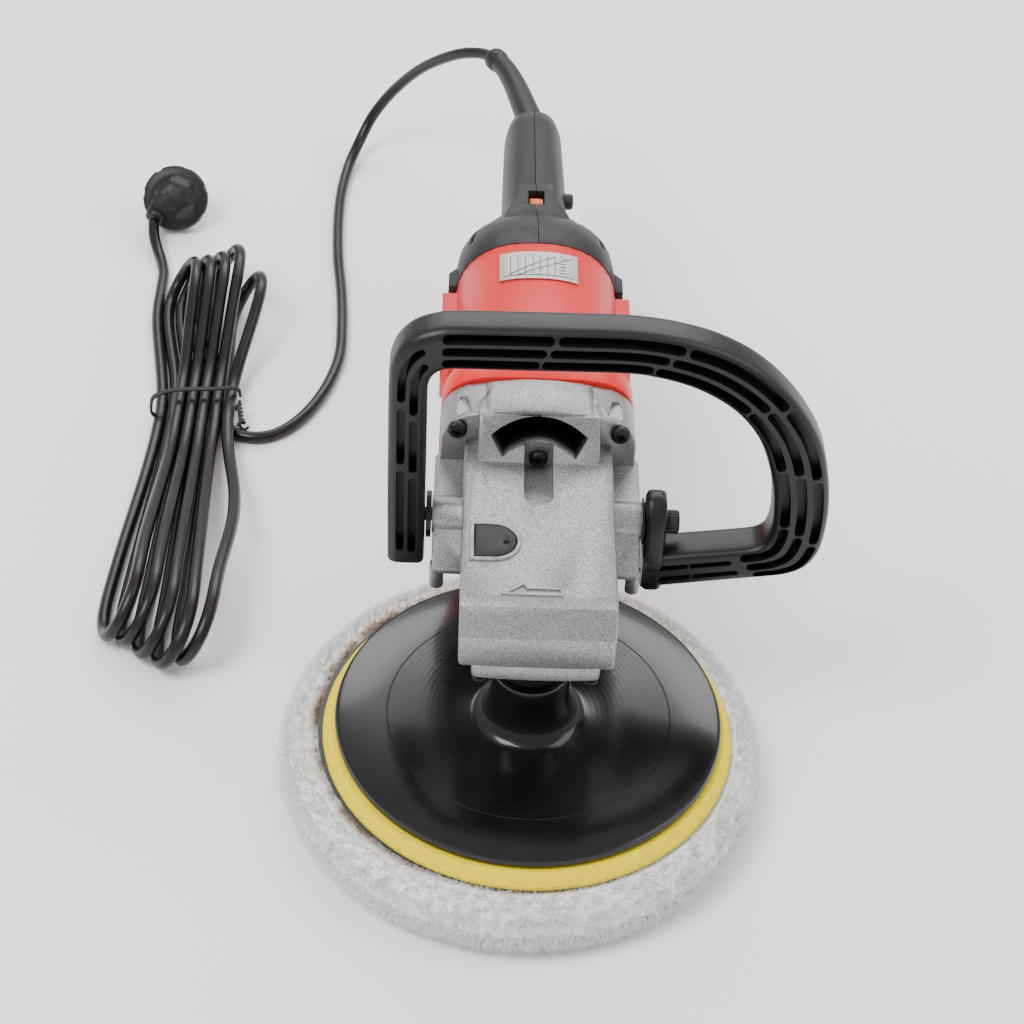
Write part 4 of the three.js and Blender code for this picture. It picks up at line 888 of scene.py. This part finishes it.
# ---- loop handle ----
HANDLE_Y, HANDLE_HALF = 40.0, 9.0
BOLT_Y, BOLT_Z = 44.0, 115.0
OUTER = [(-63, 98), (-63.3, 130), (-63.4, 165), (-63.4, 192), (-62.6, 203), (-59.4, 211), (-53.4, 217.2),
         (-45, 220.8), (-36, 222), (-10, 222.6), (14, 222.9), (34, 222.8), (52, 220.4), (69, 215.2),
         (84, 206.8), (97, 195), (107.6, 181), (115, 166.6), (119.4, 150), (121.6, 134), (121.6, 119),
         (120, 108.4), (115.6, 100.6), (108, 96.4), (98, 94.4), (80, 91.4), (62, 88.4), (45.8, 85.8)]
INNER = [(-47.4, 98), (-47.5, 130), (-47.6, 165), (-47.6, 188), (-47.0, 194.6), (-45.2, 198.6),
         (-42.4, 201), (-39.8, 201.9), (-34, 202.2), (-10, 202.4), (12, 202.7), (33, 202.8), (45, 201),
         (56.6, 197.6), (67, 192.4), (76.4, 185.6), (84, 177), (89.6, 167.4), (94, 155), (96.8, 143),
         (98.2, 131), (98.4, 122.4), (97.2, 116), (94, 112.4), (88.6, 110.6), (76, 108.6), (64, 106.8),
         (45.8, 104)]


def squared(wave, power):
    """A sine or cosine drawn towards a square wave, for sections with rounded corners."""
    return np.sign(wave) * np.abs(wave) ** power


def handle_sweep():
    """Loop handle body: matched points on the outer and inner edge, and between them a rounded section
    whose outer corners have a larger radius than its inner ones."""
    outer = smooth_plane(OUTER, 240)
    inner = smooth_plane(INNER, 240)
    t = np.linspace(0, 2 * math.pi, 48, endpoint=False)
    cx = squared(np.cos(t), 0.36)
    cy = squared(np.sin(t), 0.36)
    cy = cy * (1 - 0.14 * np.clip(cx, 0, 1) ** 3)
    middle, half = (outer + inner) / 2, (outer - inner) / 2
    x = middle[:, :1] + half[:, :1] * cx[None]
    z = middle[:, 1:] + half[:, 1:] * cx[None]
    y = HANDLE_Y + HANDLE_HALF * cy[None] + 0 * x
    points = np.stack([x, y, z], -1).reshape(-1, 3)
    rows, cols = len(outer), len(t)
    caps = np.array([points[:cols].mean(0), points[-cols:].mean(0)])
    faces = grid_faces(rows, cols)
    first, second = rows * cols, rows * cols + 1
    faces += [(first, (k + 1) % cols, k) for k in range(cols)]
    faces += [(second, (rows - 1) * cols + k, (rows - 1) * cols + (k + 1) % cols) for k in range(cols)]
    return np.vstack([points, caps]), faces


def smooth_plane(points, count):
    """A Catmull-Rom curve through plane points, with the same share of points in every span."""
    p = np.asarray(points, float)
    p = np.vstack([2 * p[0] - p[1], p, 2 * p[-1] - p[-2]])
    u = np.linspace(0, len(points) - 1, count)
    i = np.clip(u.astype(int), 0, len(points) - 2)
    f = (u - i)[:, None]
    a, b, c, d = p[i], p[i + 1], p[i + 2], p[i + 3]
    return 0.5 * (2 * b + (c - a) * f + (2 * a - 5 * b + 4 * c - d) * f ** 2 + (3 * b - a - 3 * c + d)
                  * f ** 3)


def slot_cutter(line, half, depth_from, depth_to):
    """A round-ended slot along a plane line: a band of a half width with half-circle ends, between two
    Y values."""
    along = np.gradient(line, axis=0)
    along /= np.linalg.norm(along, axis=1)[:, None]
    across = np.stack([-along[:, 1], along[:, 0]], 1)
    a = np.linspace(0, math.pi, 9)[1:-1]
    tip = line[-1] + half * (across[-1] * np.cos(a)[:, None] + along[-1] * np.sin(a)[:, None])
    tail = line[0] - half * (across[0] * np.cos(a)[:, None] + along[0] * np.sin(a)[:, None])
    ring = np.vstack([line + across * half, tip, (line - across * half)[::-1], tail])
    n = len(ring)
    both = np.vstack([ring, ring])
    points = np.c_[both[:, 0], np.repeat([depth_from, depth_to], n), both[:, 1]]
    faces = [tuple(range(n)), tuple(range(2 * n - 1, n - 1, -1))]
    faces += [(k, n + k, n + (k + 1) % n, (k + 1) % n) for k in range(n)]
    return points, faces


def part_of(line, start, stop, keep):
    """The stretch of a line between two shares of its length."""
    along = distances(line)
    return sampled(line, along, np.linspace(start, stop, keep) * along[-1])


def joined(parts):
    points, faces, base = [], [], 0
    for p, f in parts:
        points.append(np.asarray(p, float))
        faces += [tuple(i + base for i in face) for face in f]
        base += len(p)
    return np.vstack(points), faces


def cut(piece, points, faces):
    """Cuts closed solids out of a piece with an exact boolean that is then applied."""
    mesh = bpy.data.meshes.new("cutter")
    mesh.from_pydata(np.asarray(points) * MM, [], faces)
    tool = placed("cutter", mesh)
    turn_out(tool, merge=False)
    boolean = piece.modifiers.new("cut", "BOOLEAN")
    boolean.operation = "DIFFERENCE"
    boolean.solver = "EXACT"
    boolean.use_self = False
    boolean.object = tool
    apply_modifiers(piece)
    bpy.data.objects.remove(tool)


LEG_SPANS = [(0.020, 0.118), (0.134, 0.196), (0.212, 0.274)]
BAR_SPANS = [(0.300, 0.392), (0.405, 0.512), (0.525, 0.632), (0.645, 0.725), (0.738, 0.808), (0.820, 0.885)]
FOOT_SPANS = [(0.905, 0.945), (0.953, 0.992)]
# Shares of the way from the outer to the inner edge, spans, points per span, half width, floor Y.
SLOT_ROWS = [((0.34, 0.66), LEG_SPANS, 14, 1.7, 38.0), ((0.20, 0.49, 0.78), BAR_SPANS, 14, 2.1, 38.0),
             ((0.34, 0.68), FOOT_SPANS, 6, 1.35, 36.0)]
SLOT_MOUTH = 24.0


def loop_handle():
    points, faces = handle_sweep()
    handle = add_piece("loop_handle_body", points, faces, "housing", "handle_plastic", ("loop_handle",))
    turn_out(handle)
    outer, inner = smooth_plane(OUTER, 400), smooth_plane(INNER, 400)
    cutters = []
    for shares, spans, keep, half, floor in SLOT_ROWS:
        for share in shares:
            line = outer * (1 - share) + inner * share
            cutters += [slot_cutter(part_of(line, *span, keep), half, SLOT_MOUTH, floor) for span in spans]
    cut(handle, *joined(cutters))
    round_edges(handle, 0.45, 2, 50)
    apply_modifiers(handle)


def handle_lug():
    """Lug of the loop handle: a plate round the bolt with a domed top, lofted between rounded
    sections."""
    t = np.linspace(0, 2 * math.pi, 40, endpoint=False)
    c, s = squared(np.cos(t), 0.5), squared(np.sin(t), 0.5)
    rows = []
    for z, rx, ry, cy in ((86.4, 4.2, 8.4, 40), (87.2, 4.7, 8.9, 40), (104, 4.7, 8.9, 40),
                          (107, 4.7, 9.4, 41), (114, 4.7, 9.6, 42), (121, 4.7, 9.0, 43),
                          (125.6, 4.6, 7.0, 44), (128.2, 4.2, 5.0, 44.4), (129.4, 3.0, 3.4, 44.4),
                          (129.8, 1.0, 1.2, 44.4)):
        rows.append(np.stack([50.3 + rx * c, cy + ry * s, np.full(len(t), z)], -1))
    points = np.array(rows).reshape(-1, 3)
    n = len(t)
    foot, dome = end_caps(len(rows), n)
    faces = grid_faces(len(rows), n) + [foot[::-1], dome]
    turn_out(add_piece("loop_handle_lug", points, faces, "housing", "handle_plastic"))


def cap_screw(name, node_name, seat, side):
    """Cap screw: a knurled round head with a chamfer and a hexagonal socket, on a plain shank, along
    X."""
    a = np.linspace(0, 2 * math.pi, 72, endpoint=False)
    knurl = 1 + 0.028 * np.sign(np.sin(24 * a))
    flat = math.cos(math.pi / 6) / np.cos((a % (math.pi / 3)) - math.pi / 6)
    rows = [(-17.0, 2.9, 0), (0.0, 2.9, 0), (0.0, 4.6, 0), (0.4, 4.95, 1), (5.2, 4.95, 1), (5.9, 4.4, 0),
            (6.0, 3.2, 0), (6.0, 2.75, 2), (2.6, 2.6, 2)]
    points = []
    for x, r, kind in rows:
        radius = r * (np.ones_like(a), knurl, flat)[kind]
        along = np.full(len(a), side * (seat + x))
        points.append(np.stack([along, BOLT_Y + radius * np.cos(a), BOLT_Z + radius * np.sin(a)], -1))
    n = len(a)
    faces = grid_faces(len(rows), n) + end_caps(len(rows), n)
    piece = add_piece(name, np.array(points).reshape(-1, 3), faces, "housing", "black_steel", (node_name,))
    sharpen(turn_out(piece), 30)


BOX_FACES = [(0, 2, 3, 1), (4, 5, 7, 6), (0, 1, 5, 4), (2, 6, 7, 3), (0, 4, 6, 2), (1, 3, 7, 5)]


def cross_screw(name, head_r, head_h, shank_r, length, axis):
    """Pan-head cross screw on a CAD screw's seat: domed turned head with a worn rim, a four-armed
    recess and a plain shank. The axis is the way the head faces, along Y or Z."""
    low, high = (np.array(v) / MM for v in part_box(name))
    centre = (low + high) / 2
    k = 1 if abs(axis[1]) > 0 else 2
    seat = low[k] + head_h if axis[k] < 0 else high[k] - head_h
    a = np.linspace(0, math.pi / 2, 7)
    dome = [(head_h * (0.45 + 0.55 * math.sin(v)), head_r * (0.45 + 0.55 * math.cos(v))) for v in a]
    rows = [(-length, 0.2), (-length, shank_r), (0, shank_r), (0, head_r * 0.96),
            (head_h * 0.12, head_r)] + dome + [(head_h, 0.2)]
    points, faces = turned_rows(rows, 48)
    arms = []
    for turn in (0.35, 0.35 + math.pi / 2):
        w, r = head_r * 0.14, head_r * 0.58
        top, floor = head_h + 1, head_h * 0.35
        x, y, z = np.array([(x * fx, y, z * fz) for y, fx, fz in ((floor, 0.5, 0.8), (top, 1, 1))
                            for z in (-w, w) for x in (-r, r)]).T
        c, s = math.cos(turn), math.sin(turn)
        arms.append(np.stack([x * c + z * s, y, z * c - x * s], 1))

    def place(points):
        x, y, z = np.asarray(points, float).T
        sign = 1 if axis[k] > 0 else -1
        out = np.stack([x, sign * y, z], 1) if k == 1 else np.stack([x, z, sign * y], 1)
        base = centre.copy()
        base[k] = seat
        return out + base

    piece = turn_out(add_piece(name + "_cross", place(points), faces, BODY_OF[name], "black_steel",
                               (name,)))
    for arm in arms:
        cut(piece, place(arm), BOX_FACES)
    sharpen(piece, 30)


# ---- cord ends ----
BOOT_LINE = [(0, 341, 97), (0, 364, 97.4), (-1.2, 378, 98), (-4.6, 393, 98.4), (-9.4, 413, 98.4),
             (-14.8, 430, 98.2), (-21, 442.4, 97.4)]


def strain_relief():
    """Strain relief: a smooth tapering tube with two faint moulding lines and a small rolled rim at its
    mouth."""
    line = smooth_line(BOOT_LINE, 0.8)
    s = np.linspace(0, 1, len(line))
    radius = np.interp(s, [0, 0.2, 0.55, 0.90, 0.925, 0.945, 0.985, 1.0],
                       [7.6, 7.4, 6.6, 5.5, 5.6, 6.3, 6.3, 5.7])
    radius -= 0.10 * np.exp(-((s - 0.30) / 0.012) ** 2) + 0.08 * np.exp(-((s - 0.86) / 0.010) ** 2)
    points, faces, uv = tube(line, radius, 40)
    boot = add_piece("strain_relief", points, faces, "housing", "rubber", ("cord_boot",), uv, MOULDED)
    sharpen(turn_out(boot), 60)


PLUG_AT = np.array([-197.0, 409.0, 18.8])
PLUG_TILT = math.radians(35)


def on_plug(points):
    """Takes points from the plug's own axes, pins along +Y, to where it leans back on its pins."""
    c, s = math.cos(PLUG_TILT), math.sin(PLUG_TILT)
    x, y, z = np.asarray(points, float).T
    return np.stack([x, y * c + z * s, z * c - y * s], 1) + PLUG_AT


def turned_rows(rows, sides, scale=None):
    """A closed solid turned about Y from rows of Y and radius; scale gives a radius factor per row and
    angle."""
    t = np.linspace(0, 2 * math.pi, sides, endpoint=False)
    factor = np.ones((len(rows), sides)) if scale is None else scale(np.array(rows), t)
    radius = np.array([r for _, r in rows])[:, None] * factor
    height = np.broadcast_to(np.array([y for y, _ in rows])[:, None], radius.shape)
    points = np.stack([radius * np.cos(t), height, radius * np.sin(t)], -1).reshape(-1, 3)
    return points, grid_faces(len(rows), sides) + end_caps(len(rows), sides)


def plug():
    """Moulded plug: a flat disc with grip notches, a faceted hub on its back, a neck that bends down to
    a ringed gland, and a round insert with the two pins."""
    rows = [(-9.6, 0.3), (-9.5, 4.6), (-8.9, 7.4), (-7.4, 9.4), (-4.6, 11.4), (-2.6, 12.6), (-2.0, 13.6),
            (-1.7, 14.4), (-1.65, 16.6), (-1.2, 17.4), (-0.2, 18.05), (0.6, 18.15), (3.9, 18.15),
            (4.8, 17.8), (5.6, 16.9), (5.8, 15.6), (6.0, 15.1), (9.0, 15.0), (9.8, 14.5), (9.9, 13.8),
            (9.2, 13.5), (9.2, 0.3)]

    def shape(rows, t):
        hub = np.clip((-2.4 - rows[:, :1]) / 2.0, 0, 1)
        facet = 1 / np.maximum(np.abs(np.cos((t + 0.35) % (math.pi / 3) - math.pi / 6)), 0.5) - 1
        rim = ((rows[:, :1] > -0.5) & (rows[:, :1] < 4.5)) * 1.0
        notch = 0.045 * (np.abs(np.sin(3.5 * t + 0.4)) > 0.93)
        return 1 + hub * (facet[None] * 0.9 - 0.05) - rim * notch[None]

    body, faces = turned_rows(rows, 140, shape)
    line = smooth_line([(-208.1, 398.4, 11.3), (-207, 402, 12.8), (-203, 405.6, 17), (-198, 407.5, 20)],
                       0.4)
    s = np.linspace(0, 1, len(line))
    grooves = (np.sin(s * 2 * math.pi * 9) > 0.35) * (s > 0.06) * (s < 0.42)
    radius = np.interp(s, [0, 0.04, 0.3, 0.6, 1], [4.5, 5.2, 6.2, 7.6, 8.8]) - 0.5 * grooves
    neck, neck_faces, _ = tube(line, radius, 48)
    points, faces = joined([(on_plug(body), faces), (neck, neck_faces)])
    piece = add_piece("plug_moulding", points, faces, "housing", "rubber", ("plug_body",), material=MOULDED)
    sharpen(turn_out(piece, merge=False), 30)
    pins = []
    for word, x in (("left", -9.5), ("right", 9.5)):
        points, faces = turned_rows([(4.4, 0.2), (4.4, 2.4), (26.6, 2.4), (28.2, 1.7), (29.0, 0.8),
                                     (29.0, 0.1)], 40)
        name = "plug_pin_" + word
        pin = add_piece(name + "_turned", on_plug(points + [x, 0, 0]), faces, "housing", "pin_metal",
                        (name,))
        pins.append(sharpen(turn_out(pin), 35))
    return [piece] + pins


def wire_tie():
    """Twist tie: a coated wire drawn obliquely round the waist of the hank, with its two ends twisted
    together."""
    a = np.linspace(0, 2 * math.pi, 80)
    x = -169.4 + 22.3 * squared(np.cos(a), 0.5)
    z = 8.1 + 7.4 * squared(np.sin(a), 0.55)
    y = TIE_Y + 2.5 + 5.0 * np.cos(a) - 2.5 * (a > math.pi)
    loop = smooth_line(np.stack([x, y, np.maximum(z, 0.9)], -1)[::2], 1.2)
    loop_two = loop + np.array([0.4, -2.0, 0.2]) * np.linspace(0.6, 1, len(loop))[:, None]
    loop_two[:, 2] = np.maximum(loop_two[:, 2], 0.9)
    u = np.linspace(0, 1, 60)
    spine = np.stack([-146.8 + 3.0 * u, 240 - 14 * u, 9.5 - 3.0 * u], -1)
    twist = u * 2 * math.pi * 3
    around = np.stack([np.cos(twist), 0.3 * np.sin(twist), np.sin(twist)], -1)
    spread = 0.85 * around * (1 + 2.2 * np.clip(u - 0.8, 0, 1) * 5)[:, None]
    ends = [spine + spread, spine - spread]
    parts = [tube(line, 0.75, 10)[:2] for line in (loop, loop_two, *ends)]
    return turn_out(add_piece("wire_tie", *joined(parts), "housing", "tie_plastic", ("cord_tie",)))


wool_pad()
wool_fibres("wool_locks_inner", 12000, 11, 0.9, 2.3, 3.0, 0.15)
wool_fibres("wool_locks_upper", 12000, 13, 0.35, 1.5, 3.4, 0.16)
wool_fibres("wool_locks_rim", 12000, 17, -0.5, 0.7, 3.8, 0.16)
wool_fibres("wool_locks_lower", 12000, 12, -1.4, 0.0, 4.2, 0.17)
foam_ring()
hook_and_backing()
backing_plate()
spindle_surface()
loop_handle()
handle_lug()
cap_screw("handle_screw_right", "handle_bolt_right", 54.7, 1)
cap_screw("handle_screw_left", "handle_bolt_left", 56.7, -1)
strain_relief()
PLUG_PIECES = plug()
TIE = wire_tie()

# ---- rating label ----
BARREL_Z, BARREL_HIGH, BARREL_WIDE, BARREL_POWER = 111, 37.76, 38.46, 2.4


def label_graph():
    """Printed graph: a base line, uprights, two slanting lines, a column of dashes and a half ring,
    each a thin bead of ink that follows the label's curved face."""
    uprights = [[(x, 171.6), (x, 186.6)] for x in (-13.0, -9.6, -6.2, -2.8, 0.6, 4.0, 7.4)]
    lines = uprights + [[(-16, 171.6), (16, 171.6)], [(-13, 173), (7.4, 186)],
                        [(-9.6, 171.6), (10.2, 182.4)]]
    lines += [[(9.4, y), (12.4, y)] for y in (174.0, 176.4, 178.8, 181.2, 183.6)]
    a = np.linspace(math.pi * 0.95, math.pi * 2.05, 14)
    lines.append([(12.6 + 2.6 * math.cos(v), 187.4 + 2.4 * math.sin(v)) for v in a])
    parts = []
    for line in lines:
        flat = even_steps(np.c_[np.array(line), np.zeros(len(line))], 0.9)
        x, y = flat[:, 0], flat[:, 1]
        share = (np.abs(x) / BARREL_WIDE) ** BARREL_POWER
        rise = BARREL_Z + BARREL_HIGH * (1 - share) ** (1 / BARREL_POWER)
        parts.append(tube(np.stack([x, y, rise], 1), 0.16, 6)[:2])
    turn_out(add_piece("label_graph", *joined(parts), "housing", "black_plastic"))


# ---- cast, moulded and machined parts ----
for name, width, segments in (("gear_housing", 0.7, 2), ("bearing_cover", 0.5, 2),
                              ("motor_housing", 0.6, 2), ("rear_cover_left", 0.5, 2),
                              ("rear_cover_right", 0.5, 2), ("spindle_lock_button", 0.3, 2),
                              ("trigger", 0.5, 2), ("lock_on_button", 0.3, 2), ("speed_dial", 0.15, 1),
                              ("rating_label", 0.0, 1)):
    refined(name, width, segments)
for name in sorted(NODES):
    if name.startswith("flange_screw"):
        cross_screw(name, 4.3, 3.4, 2.2, 30, (0, -1, 0))
    elif name == "centre_screw":
        cross_screw(name, 4.0, 3.0, 1.8, 7, (0, -1, 0))
    elif name.startswith("cover_screw"):
        cross_screw(name, 3.1, 2.2, 1.6, 13, (0, 0, -1))
label_graph()
for name, cad in NODES.items():
    cad.data.materials.clear()
    cad.data.materials.append(MATERIALS[SLOT_OF[name]])
